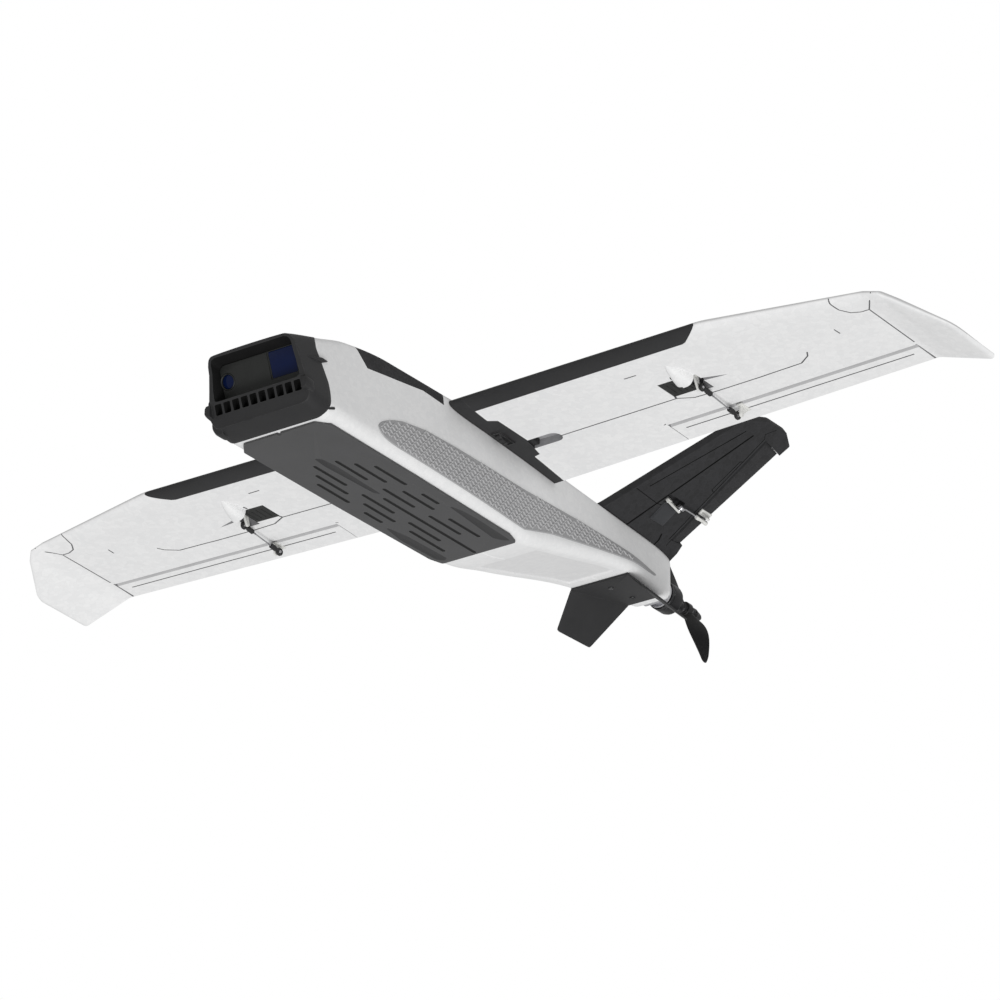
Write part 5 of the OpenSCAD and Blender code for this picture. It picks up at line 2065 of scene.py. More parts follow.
@dataclass
class Wing:
    """Both wings: foam panel, rib, edge strip, lock, plug, servo, hatch, linkage and aileron."""

    palette: Palette
    pattern: Pattern
    gap: float = 0.2
    rib: Points = ((20, -125), (58.5, -125), (57.7, -91.5), (56, -70.5), (63.7, -65.5), (63.2, -23),
                   (56.8, 4.5), (50.3, 6), (45.1, 62), (20, 62))
    strip: Points = ((58.5, -125), (57.7, -90.5), (276, -90.5), (280, -92), (299, -107),
                                              (306, -125))
    aileron_x: Pair = (0.0, 258.0)
    aileron_groove: Points = ((192.5, 34.4), (428.7, 32.4))
    cable: Points = ((92, -13), (216, -13.4), (222, -10.4), (230, -6.4), (252, -5.4), (297, -5.6),
                     (340.5, -6.7), (352, -14.5), (355.6, -20.6))
    dash: Points = ((199.2, -67.4), (211.6, -67.2))
    tip_lines: tuple[Points, ...] = (
        ((418.0, -82.5), (416.9, -76.7), (418.5, -66), (424.2, -57), (432, -53.4), (440.1, -53.0)),
        ((455.5, -75.5), (440.1, -53.0), (440.3, 15.0)), ((396.4, -40.7), (396.8, -32.1)),
        ((439.4, 18.6), (440.4, 47.9)))
    lock: Triple = (45.8, -37.0, 90.0)
    servo: tuple[float, ...] = (36, -58, -0.5, 63, -35, 11.5)
    link_x: float = 69.5
    reach: Pair = (52.0, -5.5)

    def build(self) -> None:
        """Makes both sides; the right one mirrors the left."""
        pieces = [
            ("wing", "wing", "white_foam", self._panel()),
            ("wing", "root_rib", "black_plastic", self._rib()),
            ("wing", "edge_strip", "black_plastic", self._strip()),
            ("wing", "wing_plug", "black_plastic", self._plug()),
            ("wing", "servo_cover", "dark_grey_plastic", self._cover()),
            ("wing", "wing_servo", "servo_case", self._servo()),
            ("lock", "wing_lock", "black_plastic", self._lock()),
            ("aileron", "aileron", "white_foam", self._aileron()),
        ]
        link = Linkage(self.palette, HINGE, self.link_x, self.reach)
        pieces += [("servo_arm", "servo_arm", "white_nylon", link.arm("servo_arm_part")),
                   ("pushrod", "pushrod", "black_plastic",
                    link.ball_rod("pushrod_part", "black_plastic")),
                   ("aileron", "aileron_horn", "white_nylon",
                    link.horn("aileron_horn_part", -3.6, "white_nylon")),]
        publish_sides(pieces)

    @staticmethod
    def _zone(outline: Outline) -> Obj:
        """Upright prism over a plan outline."""
        return prism("zone", outline, -100, 300)

    @staticmethod
    def _grown(outline: Outline, by: float) -> list[Pair]:
        """Plan outline moved outwards along the span and towards the rear.

        Args:
            outline: plan outline.
            by: distance, in millimetres.

        Returns:
            The larger outline.
        """
        cx = sum(p[0] for p in outline) / len(outline)
        cy = sum(p[1] for p in outline) / len(outline)
        return [(x + math.copysign(by, x - cx), y + math.copysign(by, y - cy)) for x, y in outline]

    def _aileron_zone(self, inset: float) -> Obj:
        """Wedge-nosed space of the aileron in the hinge frame.

        Args:
            inset: gap at both ends; 0 makes the cutter.

        Returns:
            The object.
        """
        x0, x1 = self.aileron_x[0] + inset, self.aileron_x[1] - inset
        lean = math.tan(math.radians(30))
        if inset <= 0:
            section = rect(-0.7, -30, 60, 30)
        else:
            section = [(0, 0), (20 * lean * 1.9, -20), (60, -20), (60, 20), (20 * lean, 20)]
        return prism("zone", section, x0, x1, "x", HINGE)

    @staticmethod
    def _recess() -> Obj:
        """Cutter of the half-round recess at the root."""
        return prism("well", slot_outline((50, -14), (86, -14), 15.6, 12), 60, 92)

    def _panel(self) -> Obj:
        """Foam panel with every recess and scored line."""
        panel = dress(WING.solid("panel"), self.palette["wing_foam"])
        boolean(panel, [dress(self._blister(), self.palette["wing_foam"])], "UNION")
        cuts = [self._zone(self._grown(self.rib, self.gap)),
                self._zone(self._grown(self.strip, self.gap)),
                # the root recess, the hinge cut face and the arm slot get a grey painted shade
                *dark_cuts([self._recess(), self._aileron_zone(0.0)], self.palette["recess_grey"]),
                block("servo_bay", [c - 0.15 for c in self.servo[:3]],
                      [c + 0.15 for c in self.servo[3:]], HINGE),
                block("hatch_bay", (34.8, -64.2, -14), (61.2, -38.8, -0.6), HINGE),
                *dark_cuts([block("arm_slot", (60.8, -62.5, -30), (73.5, -35, 12), HINGE)],
                           self.palette["recess_grey"]),
                # the pry notches get a dark grey painted shadow
                *self._dark(self._notch((232.4, -44), (233.2, -47)),
                            self._notch((216.8, -17), (215.6, -13.6))),
                # the tapered hollow's walls get a grey painted shade
                *dark_cuts([self._tapered_slot()], self.palette["slot_grey"])]
        cuts.append(spar_bore(20, 233))
        boolean(panel, cuts)
        lines = scored(self.cable, 1.5, 0.9) + scored(self.dash, 1.5, 0.7)
        for line in self.tip_lines:
            lines += scored(line, 1.3, 0.65)
        lines += scored(((181.2, 19.5), (178.6, 20.6)), 1.2, 0.9)
        # the scored lines' walls get a dark grey painted shadow
        boolean(panel, self._dark(*lines))
        return sleek(panel, 26)

    def _dark(self, *cutters: Obj) -> list[Obj]:
        """Cutters whose walls get a dark grey painted shadow."""
        return dark_cuts(cutters, self.palette["seam_grey"])

    def _blister(self) -> Obj:
        """Streamlined bulge ahead of the servo arm, flat behind, running out at the front."""
        rings = []
        steps = 22
        for i in range(steps + 1):
            t = i / steps
            y = -56.0 - 36.0 * t
            r = 11.5 * max(1 - t ** 1.7, 0.0) ** 0.75 + 0.02
            ring = []
            for a in np.linspace(0, 2 * math.pi, 33)[:-1]:
                c, s = math.cos(a), math.sin(a)
                wide = math.copysign(abs(c) ** 0.72, c) * r * (0.86 - 0.2 * t)
                ring.append(HINGE @ Vector((63.0 - 1.5 * t + wide, y,
                                            -1.2 + 1.6 * t + math.copysign(abs(s) ** 0.72, s) * r)))
            rings.append(ring)
        return loft("blister", rings)

    def _notch(self, a: Pair, b: Pair) -> Obj:
        """Small pry notch at the hatch's edge."""
        return below(slot_outline(a, b, 1.9, 4), 1.6)

    def _tapered_slot(self) -> Obj:
        """Hollow outboard of the arm that runs out along the span."""
        rings = []
        for t in np.linspace(0, 1, 9):
            x = 249 + 28.5 * t
            wide = 4.6 * (1 - t) ** 0.7 + 0.15
            y = -30.5 + 5.0 * t
            deep = 3.4 * (1 - t) + 0.05
            top = WING.under(float(x), float(y))
            rings.append([(x, y - wide, top.z - 1.5), (x, y + wide * 0.5, top.z - 1.5),
                          (x, y + wide * 0.4, top.z + deep * 0.9),
                          (x, y - wide * 0.25, top.z + deep)])
        return loft("tapered", rings)

    def _rib(self) -> Obj:
        """Root rib that hugs the body, with the lock housing."""
        rib = WING.solid("rib")
        boolean(rib, [self._zone(self.rib)], "INTERSECT")
        body = HULL.solid("body", list(np.arange(-150, 90, 10)), 0.1)
        body.data.transform(shift(0.15 * MM, 0, 0))
        x, y, z = self.lock
        round_bay = tube("bay", [(x - 0.2, y, z), (x + 5.2, y, z)], 10.3, 40)
        low_bay = block("bay", (x - 0.2, y - 10.3, 60), (x + 5.2, y + 10.3, z))
        pin = tube("pin", [(40, y, z), (57.5, y, z)], 1.6, 16)
        plug = block("plug", (27, -18.5, 86.5), (66, -7.5, 92))
        boolean(rib, [body, round_bay, low_bay, pin, spar_bore(20, 70), plug])
        rim = self._lock_rim()
        return sleek(dress(join("rib", [rib, rim]), self.palette["black_plastic"]), 28)

    @staticmethod
    def _lock_rim() -> Obj:
        """Raised rim round the lock's opening in the underside."""
        top = [WING.under(x, y, 0.6) for x, y in rect(44.2, -49.4, 52.4, -24.6)]
        drop = [(p.x, p.y, p.z - 1.9) for p in top]
        rim = soften(loft("rim", [[tuple(p) for p in top], drop]), 0.6, 2)
        hole = block("hole", (45.6, -47.4, 60), (51.0, -26.6, 120))
        return boolean(rim, [hole])

    def _strip(self) -> Obj:
        """Protective strip along the leading edge."""
        strip = WING.solid("strip")
        boolean(strip, [self._zone(self.strip)], "INTERSECT")
        return sleek(dress(strip, self.palette["black_plastic"]), 30)

    def _lock(self) -> Obj:
        """Thumb wheel with scallops, slot and pin."""
        lock = Vector(self.lock)
        place = Matrix.Translation(lock) @ spin(90, "Y")
        wheel = lathe("wheel", [(POLE, 0), (9.3, 0), (10, 0.7), (10, 4.3), (9.3, 5), (POLE, 5)],
                      place, 72)
        dent = tube("dent", [(0, 0, -1), (0, 0, 6)], 1.25, 12)
        spots = [place @ spin(a, "Z") @ shift(10.3, 0, 0) for a in range(0, 360, 30)]
        dents = self.pattern.spread("dents", dent, spots)
        slot = block("slot", (-6, -0.8, -1), (6, 0.8, 0.8), place)
        boolean(wheel, [dents, slot])
        pin = tube("pin", [lock + Vector((4, 0, 0)), lock + Vector((11, 0, 0))], 1.5, 20)
        return sleek(dress(join("wheel", [wheel, pin]), self.palette["black_plastic"]), 32)

    def _plug(self) -> Obj:
        """Servo plug with three contacts."""
        body = block("plug", (57, -18.5, 86.5), (66, -7.5, 92), edge=0.5)
        hole = block("hole", (-0.55, -0.55, -3), (0.55, 0.55, 1))
        turn = spin(90, "Y")
        holes = self.pattern.spread("holes", hole,
                                    [shift(66, -16 + 3 * i, 89.2) @ turn for i in range(3)])
        boolean(body, [holes])
        return sleek(dress(body, self.palette["black_plastic"]), 30)

    def _cover(self) -> Obj:
        """Servo hatch: plate with four shallow grooves, hollow behind."""
        plate = WING.solid("cover")
        zone = block("zone", (35.1, -63.9, -12), (60.9, -39.1, -0.75), HINGE)
        boolean(plate, [zone], "INTERSECT")
        room = block("room", (36, -58, -0.9), (63, -35, 11.5), HINGE)
        ribs = [below(slot_outline((222 + 5.5 * i, -37.4), (222 + 5.5 * i, -21.2), 0.8, 3), 0.35)
                for i in range(4)]
        boolean(plate, [room, *ribs])
        return sleek(dress(plate, self.palette["dark_grey_plastic"]), 28)

    def _servo(self) -> Obj:
        """Micro servo lying on its side, with gear tower and shaft."""
        case = block("case", (36, -58, -0.5), (60.5, -35, 11.5), HINGE, 0.7)
        lid = block("lid", (60.7, -57.8, -0.3), (63, -35.2, 11.3), HINGE, 0.6)
        y, z = -self.reach[0], -self.reach[1]
        turn = HINGE @ shift(63, y, z) @ spin(90, "Y")
        tower = lathe("tower", [(POLE, -0.5), (5.2, -0.5), (5.2, 0.6), (4.8, 1.0), (2.5, 1.0),
                                (2.5, 1.4), (POLE, 1.4)], turn, 32)
        body = dress(join("case", [case, lid, tower]), self.palette["servo_case"])
        shaft = dress(tube("shaft", [HINGE @ Vector((62, y, z)), HINGE @ Vector((66.8, y, z))], 1.5,
                           20), self.palette["aluminium"])
        return sleek(join("case", [body, shaft]), 30)

    def _aileron(self) -> Obj:
        """Aileron with its long scored line."""
        flap = WING.solid("aileron")
        # the aileron's nose faces get a grey painted shade in the hinge gap
        boolean(dress(flap, self.palette["wing_foam"]),
                dark_cuts([self._aileron_zone(0.6)], self.palette["nose_grey"]), "INTERSECT")
        # the scored line gets a dark grey painted shadow
        boolean(flap, self._dark(*scored(self.aileron_groove, 1.5, 0.9)))
        return sleek(flap, 26)


# ---------------------------------------------------------------------------------------
# Tail
# ---------------------------------------------------------------------------------------
TAIL = shift(20, 0, 94) @ spin(-35, "Y")
TAIL_HINGE = TAIL @ shift(0, 240, 4)


@dataclass
class Tail:
    """V-tail fins, ruddervators, servos and linkages, and the bent plate under the tail."""

    palette: Palette
    thick: float = 8.0
    outline: Points = (
        (-9, 136), (7, 144.5), (144.8, 200.5), (155, 227), (155, 252.5), (146, 268.5), (133.6, 267),
        (138.4, 239.65), (12.8, 239.65), (14.2, 256), (5, 258.5), (-9, 258.5))
    flap: Points = ((13.2, 240), (137.8, 240), (132.8, 266.5), (15.2, 255))
    lines: tuple[tuple[Points, float, float], ...] = ((((45, 169), (136, 211.5)), 1.2, 0.8),
                                                      (((-1, 180.5), (136.3, 222.5)), 2.2, 1.6),
                                                      (((37, 158), (35, 192), (37.5, 204)), 0.9,
                                                       0.5),
                                                      (((-3, 227), (7, 227.5), (13.5, 224.5)), 2.0,
                                                       1.4),
                                                      (((72, 236), (73, 232.5), (109, 234),
                                                        (110, 236.2)), 0.9, 0.5),
                                                      (((12.8, 236.8), (139.4, 236.8)), 1.0, 0.6),
                                                      (((139.4, 236.4), (143, 233), (152, 240)),
                                                       0.7, 0.4),
                                                      (((6, 240), (13, 239.6)), 0.8, 0.6))
    link_x: float = 46.0
    reach: Pair = (36.5, 1.0)
    screw_y: Pair = (191.5, 224.5)

    def build(self) -> None:
        """Makes both sides of the V and the plate."""
        link = Linkage(self.palette, TAIL_HINGE, self.link_x, self.reach)
        pieces = [
            ("airframe", "tail_fin", "black_foam", self._fin()),
            ("airframe", "tail_servo", "servo_case", self._servo()),
            ("ruddervator", "ruddervator", "black_foam", self._flap(link)),
            ("tail_arm", "tail_servo_arm", "white_nylon", link.arm("tail_arm_part")),
            ("tail_rod", "tail_pushrod", "steel", link.clevis_rod("tail_rod_part", 2.4)),
        ]
        publish_sides(pieces)
        self._plate()

    def _half_thick(self, s: float, y: float) -> float:
        """Half thickness of the fin: full over the middle, thinner towards the leading edge."""
        lead = 144.5 + (s - 7) * 56 / 137.8
        return self.thick / 2 * min(1.0, 0.28 + max(y - lead, 0.0) / 11)

    def _fin(self) -> Obj:
        """Fin panel with rounded edges, scored lines and servo pocket."""
        fin = prism("fin", rounded(self.outline, (0, 3, 4, 12, 3, 2, 0.5, 0, 0, 0.5, 1, 0), 5), 0,
                    self.thick, "z", TAIL)
        dress(soften(fin, 2.6, 4, 60), self.palette["black_foam"])
        px, arm_x = self.link_x - 5.9, self.link_x
        py, pz = -self.reach[0], -self.reach[1]
        bay = block("bay", (px - 20.1, py - 6.1, pz - 4.1), (px + 0.1, py + 14.1, pz + 3.7),
                    TAIL_HINGE)
        slot = block("slot", (arm_x - 6.5, py - 7, -20), (arm_x + 3, py + 16, self.thick / 2 - 0.6),
                     TAIL_HINGE)
        body = HULL.solid("body", list(np.arange(110, 262, 8)), 0.0)
        boolean(fin, [bay, slot, body])
        # the scored lines get a near-black painted shadow, darker than the fin's foam
        boolean(fin, dark_cuts(self._scores(), self.palette["hood_black"]))
        return sleek(fin, 30)

    def _scores(self) -> list[Obj]:
        """Cutters of the thin lines on both faces of the fin."""
        cuts = []
        for path, width, deep in self.lines:
            for n in (0.0, self.thick):
                lift = deep - width / 2 if n == 0 else -(deep - width / 2)
                for a, b in zip(path[:-1], path[1:]):
                    cuts.append(tube("score",
                                     [TAIL @ Vector((*a, n + lift)), TAIL @ Vector((*b, n + lift))],
                                     width / 2, 8))
        return cuts

    def _flap(self, link: Linkage) -> Obj:
        """Ruddervator with its horn.

        Args:
            link: the linkage that the horn belongs to.

        Returns:
            The object.
        """
        half = self.thick / 2
        lean = math.tan(math.radians(30))
        xs = [*np.linspace(13.4, 133.2, 13), 137.9]
        rings = []
        for x in xs:
            back = 15 + (26.5 - 15) * (x - 15.2) / 117.6
            back = min(back, 26.5) if x < 133 else 26.5 * (137.9 - x) / 4.9 + 1
            back = max(back, 3.0)
            t = 1.0 + (half - 1.0) * (1 - back / 27) * 0.25
            nose = min(half * lean, back * 0.7)
            ring = [(x, 0.0, 0.0), (x, nose, -half), (x, max(back - 1.2, nose + 0.2), -t),
                    (x, back, -t * 0.4), (x, back, t * 0.4), (x, max(back - 1.2, nose + 0.2), t),
                    (x, nose, half)]
            rings.append([TAIL_HINGE @ Vector(p) for p in ring])
        flap = dress(loft("flap", rings), self.palette["black_foam"])
        horn = link.horn("horn", -half + 0.6, "white_nylon")
        return sleek(join("flap", [flap, horn]), 32)

    def _servo(self) -> Obj:
        """Flat micro servo in the fin's pocket, with its screw-down lid."""
        px, py, pz = self.link_x - 5.9, -self.reach[0], -self.reach[1]
        case = block("case", (px - 20, py - 6, pz - 4), (px, py + 14, pz + 3.6), TAIL_HINGE, 0.6)
        rim = block("rim", (px - 18.6, py - 4.6, pz - 4.5), (px - 1.4, py + 12.6, pz - 3.8),
                    TAIL_HINGE, 0.3)
        body = dress(join("case", [case, rim]), self.palette["servo_case"])
        shaft = dress(tube("shaft", [TAIL_HINGE @ Vector((px - 1, py, pz)),
                                     TAIL_HINGE @ Vector((px + 3.4, py, pz))], 1.5, 20),
                      self.palette["aluminium"])
        return sleek(join("case", [body, shaft]), 30)

    def _plate(self) -> None:
        """Bent plate with both lower fins, and its two screws."""
        low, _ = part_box("tail_plate")
        front, back = (31.3, 173.5, 40.8), (14.7, 239.0, 47.4)
        tip, heel = (58.2, 191.0, low.z / MM + 2.4), (53.8, 234.2, low.z / MM + 0.2)
        plane_n = (Vector(back) - Vector(front)).cross(Vector(tip) - Vector(front)).normalized()
        heel = (heel[0], heel[1], front[2]
                - (plane_n.x * (heel[0] - front[0]) + plane_n.y * (heel[1] - front[1])) / plane_n.z)
        up = plane_n * (1.5 if plane_n.z > 0 else -1.5)

        def plate_z(y: float) -> float:
            """Height of the plate's underside at a place along the body."""
            return front[2] + (back[2] - front[2]) * (y - front[1]) / (back[1] - front[1])

        parts = []
        middle = prism("plate", [(front[0], front[1]), (back[0], back[1]), (-back[0], back[1]),
                                 (-front[0], front[1])], 0, 2.4)
        for v in middle.data.vertices:
            v.co.z += plate_z(v.co.y / MM) * MM
        parts.append(middle)
        for sign in (1, -1):
            corners = [Vector(front) + Vector((-0.8, 0, 0.6)), Vector(tip), Vector(heel),
                       Vector(back) + Vector((-0.8, 0, 0.6))]
            ring = rounded_patch(corners, 2.2)
            sheet = [[(sign * p.x, p.y, p.z) for p in ring],
                     [(sign * (p + up).x, (p + up).y, (p + up).z) for p in ring]]
            parts.append(loft("fin", sheet))
        plate = boolean(parts[0], parts[1:], "UNION")
        soften(plate, 0.45, 2, 40)
        holes = [tube("hole", [(0, y, 30), (0, y, 70)], 1.35, 16) for y in self.screw_y]
        sinks = [tube("sink", [(0, y, plate_z(y) - 2), (0, y, plate_z(y) + 0.35)], 3.1, 24)
                 for y in self.screw_y]
        boolean(plate, holes + sinks)
        publish(sleek(dress(plate, self.palette["black_plastic"]), 30), "airframe", "black_plastic",
                "tail_plate")
        screws = []
        for y in self.screw_y:
            z = plate_z(y)
            turn = shift(0, y, z + 0.3) @ spin(180, "X")
            head = lathe("head", [(POLE, 0), (2.5, 0), (2.5, 0.6), (1.9, 1.3), (POLE, 1.5)], turn,
                         28)
            cross = [block("cross", (-a, -b, 0.7), (a, b, 3), turn) for a,
                     b in ((1.5, 0.28), (0.28, 1.5))]
            boolean(head, cross)
            shank = tube("shank", [(0, y, z), (0, y, z + 9)], 1.25, 16)
            screws.append(join("screw", [head, shank]))
        publish(sleek(dress(join("tail_plate_screws_skin", screws), self.palette["motor_black"]),
                      30), "airframe", "motor_black", "tail_plate_screws")


def rounded_patch(corners: Sequence[Vector], radius: float) -> list[Vector]:
    """Rounds the corners of a flat patch in space.

    Args:
        corners: corner points in order.
        radius: length cut from each edge at a corner.

    Returns:
        The rounded outline.
    """
    out = []
    for i, p in enumerate(corners):
        a, b = corners[i - 1] - p, corners[(i + 1) % len(corners)] - p
        start, end = p + a.normalized() * radius, p + b.normalized() * radius
        out += [start * (1 - t) ** 2 + p * 2 * t * (1 - t) + end * t * t
                for t in (0, 0.33, 0.67, 1)]
    return out


# ---------------------------------------------------------------------------------------
# Drive
# ---------------------------------------------------------------------------------------
@dataclass
class Drive:
    """Motor mount, motor, propeller and nut."""

    palette: Palette
    pattern: Pattern
    axis_z: float = 65.5
    screw_x: Pair = (-10.8, 10.8)
    screw_z: Pair = (-8.5, 13)
    radius: float = 63.5
    pitch: float = 114.0
    rest: float = 25.0

    def _turned(self) -> Matrix:
        """Frame on the motor's axis, Z pointing back."""
        return shift(0, 0, self.axis_z) @ spin(-90, "X")

    def _screw_spots(self) -> list[Pair]:
        """Places (x, z) of the four mounting screws."""
        return [(x, self.axis_z + d) for x in self.screw_x for d in self.screw_z]

    def build(self) -> None:
        """Makes everything behind the tail."""
        axis = self._turned()
        publish(self._mount(axis), "airframe", "aluminium", "motor_mount")
        publish(self._screws(), "airframe", "steel", "motor_screws")
        publish(self._stator(axis), "airframe", "copper", "motor_stator")
        publish(self._bell(axis), "propeller", "motor_black", "motor_bell")
        publish(self._propeller(), "propeller", "prop_plastic", "propeller")
        nut = lathe("prop_nut_turned",
                    [(2.55, 310), (5.5, 310), (5.5, 311), (5.1, 311.4), (5.5, 311.8), (5.5, 318.4),
                     (5.0, 319.2), (4.3, 323), (3.3, 326.8), (2.0, 329), (POLE, 329.4),
                     (POLE, 323.5), (2.55, 323.5)], axis, 40)
        bore = tube("bore", [(-9, 316, self.axis_z), (9, 316, self.axis_z)], 1.1, 14)
        publish(sleek(dress(boolean(nut, [bore]), self.palette["motor_black"]), 30), "propeller",
                "motor_black", "prop_nut")

    def _mount(self, axis: Matrix) -> Obj:
        """Square plate with a cup for the motor's base.

        Args:
            axis: the motor's frame.

        Returns:
            The object.
        """
        z = self.axis_z
        outline = rounded(rect(-13.5, z - 11.5, 13.5, z + 16), 3, 5)
        plate = soften(prism("plate", outline, 258, 261, "y"), 0.4)
        holes = [tube("hole", [(x, 250, h), (x, 270, h)], 1.1, 14) for x, h in self._screw_spots()]
        bore = tube("bore", [(0, 250, z), (0, 270, z)], 6, 32)
        boolean(plate, [*holes, bore])
        cup = lathe("cup", [(6, 260.5), (10, 260.5), (10, 264.5), (6, 264.5)], axis, 40)
        return sleek(dress(join("motor_mount_plate", [plate, cup]), self.palette["aluminium"]), 30)

    def _screws(self) -> Obj:
        """Four socket screws."""
        head = lathe("head", [(0.9, 1.6), (0.9, 0.7), (POLE, 0.5), (POLE, -0.2), (1.8, -0.2),
                              (1.8, 1.3), (1.5, 1.6)], Matrix(), 22)
        places = [shift(x, 261, z) @ spin(-90, "X")
                  for x, z in self._screw_spots()]
        heads = self.pattern.spread("motor_screws_turned", head, places)
        shanks = [tube("shank", [(x, 252, z), (x, 261, z)], 1.0, 12) for x,
                  z in self._screw_spots()]
        return sleek(dress(join("motor_screws_turned", [heads, *shanks]), self.palette["steel"]),
                     30)

    def _stator(self, axis: Matrix) -> Obj:
        """Base, bearing tube and nine wound teeth.

        Args:
            axis: the motor's frame.

        Returns:
            The object.
        """
        base = lathe("base", [(2.1, 264.5), (13, 264.5), (13, 266.4), (12.4, 267), (6, 267),
                              (6, 281), (2.1, 281)], axis, 44)
        metal = dress(base, self.palette["aluminium"])
        tooth = block("tooth", (-1.2, 269, 5.5), (1.2, 280, 11.0))
        spots = [shift(0, 0, self.axis_z) @ spin(-a, "Y") for a in range(0, 360, 40)]
        teeth = self.pattern.spread("teeth", tooth, spots, self.palette["dark_grey_plastic"])
        turns = []
        for k in range(5):
            r = 6.4 + k * 0.85
            coil = [(-1.75, 270.2, r), (1.75, 270.2, r), (1.75, 278.8, r), (-1.75, 278.8, r),
                    (-1.75, 270.2, r)]
            turns.append(tube("turn", coil, 0.42, 6))
        coils = self.pattern.spread("coils", join("coil", turns), spots, self.palette["copper"])
        return sleek(join("motor_stator_wound", [metal, teeth, coils]), 35)

    def _bell(self, axis: Matrix) -> Obj:
        """Motor bell with openings, a ring groove, magnets, shaft and propeller adapter.

        Args:
            axis: the motor's frame.

        Returns:
            The object.
        """
        shell = [(12, 268), (13.6, 268), (14, 268.5), (14, 281.5), (13.2, 284), (11.5, 285),
                 (5, 285), (2.05, 285), (2.05, 282.5), (10.6, 282.5), (12, 281)]
        bell = lathe("bell", shell, axis, 72)
        opening = slot_outline((7.2, 0), (10.2, 0), 4.6, 8)
        hole = prism("hole", opening, -6, 6)
        spots = [axis @ spin(30 + 60 * k, "Z") @ shift(0, 0, 284) for k in range(6)]
        holes = self.pattern.spread("holes", hole, spots)
        groove = lathe("groove", [(13.6, 270.6), (14.4, 270.6), (14.4, 271.2), (13.6, 271.2)], axis,
                       72)
        boolean(bell, [holes, groove])
        magnets = self.pattern.spread("magnets",
                                      block("magnet", (-3.0, -0.4, 268.8), (3.0, 0.6, 280.5)),
                                      [axis @ spin(36 * k, "Z") @ shift(0, 11.5, 0)
                                       for k in range(10)])
        adapter = lathe("adapter", [(POLE, 262.5), (2, 262.5), (2, 284.6), (5, 284.6), (5, 286),
                                    (4.4, 286.6), (4.4, 299), (5, 299.6), (5, 303), (2.5, 303),
                                    (2.5, 323.4), (POLE, 323.4)], axis, 40)
        dark = dress(join("bell", [bell, magnets]), self.palette["motor_black"])
        bright = dress(adapter, self.palette["motor_black"])
        return sleek(join("motor_bell_turned", [dark, bright]), 30)

    def _blade_ring(self, f: float, sides: int = 36) -> list[Vector]:
        """Aerofoil section of the blade at a fraction of its radius.

        Args:
            f: fraction of the radius.
            sides: number of sides.

        Returns:
            The points.
        """
        r = 5 + (self.radius - 5) * f
        twist = math.atan(self.pitch / (2 * math.pi * max(r, 14)))
        chord = 8 + 9 * math.sin(math.pi * f ** 0.8) - 3 * f
        thick = 3.4 - 2.4 * f
        sweep = 3.2 * math.sin(math.pi * f) - 3 * f * f
        if f > 0.9:
            chord *= math.sqrt(max(1 - ((f - 0.9) / 0.104) ** 2, 0.03))
        ring = []
        for j in range(sides):
            a = 2 * math.pi * j / sides
            u = chord / 2 * math.cos(a) + sweep
            full = math.sin(a) * (1 + 0.35 * math.cos(a)) * (thick / 2)
            bow = 0.05 * chord * (1 - math.cos(a) ** 2)
            v = full + bow
            ring.append(Vector((u * math.cos(twist) - v * math.sin(twist),
                                u * math.sin(twist) + v * math.cos(twist), -r)))
        return ring

    def _propeller(self) -> Obj:
        """Two-blade propeller with a stepped hub."""
        place = shift(0, 306.5, self.axis_z) @ spin(-self.rest, "Y")
        parts = []
        for k in (0, 1):
            turn = place @ spin(180 * k, "Y")
            parts.append(loft("blade",
                              [[turn @ p for p in self._blade_ring(f)]
                               for f in np.linspace(0, 1, 60)]))
        hub = lathe("hub", [(2.55, 303), (6.4, 303), (7, 303.6), (7, 309), (6.5, 309.6), (5.6, 310),
                            (2.55, 310)], self._turned(), 44)
        for blade in parts:
            boolean(blade, [tube("bore", [(0, 300, self.axis_z), (0, 312, self.axis_z)], 2.6, 24)])
        rings = lathe("ring", [(4.0, 302.8), (4.8, 302.8), (4.8, 303.2), (4.0, 303.2)],
                      self._turned(), 32)
        return sleek(dress(join("propeller_moulded", [hub, *parts, rings]),
                           self.palette["prop_plastic"]), 35)


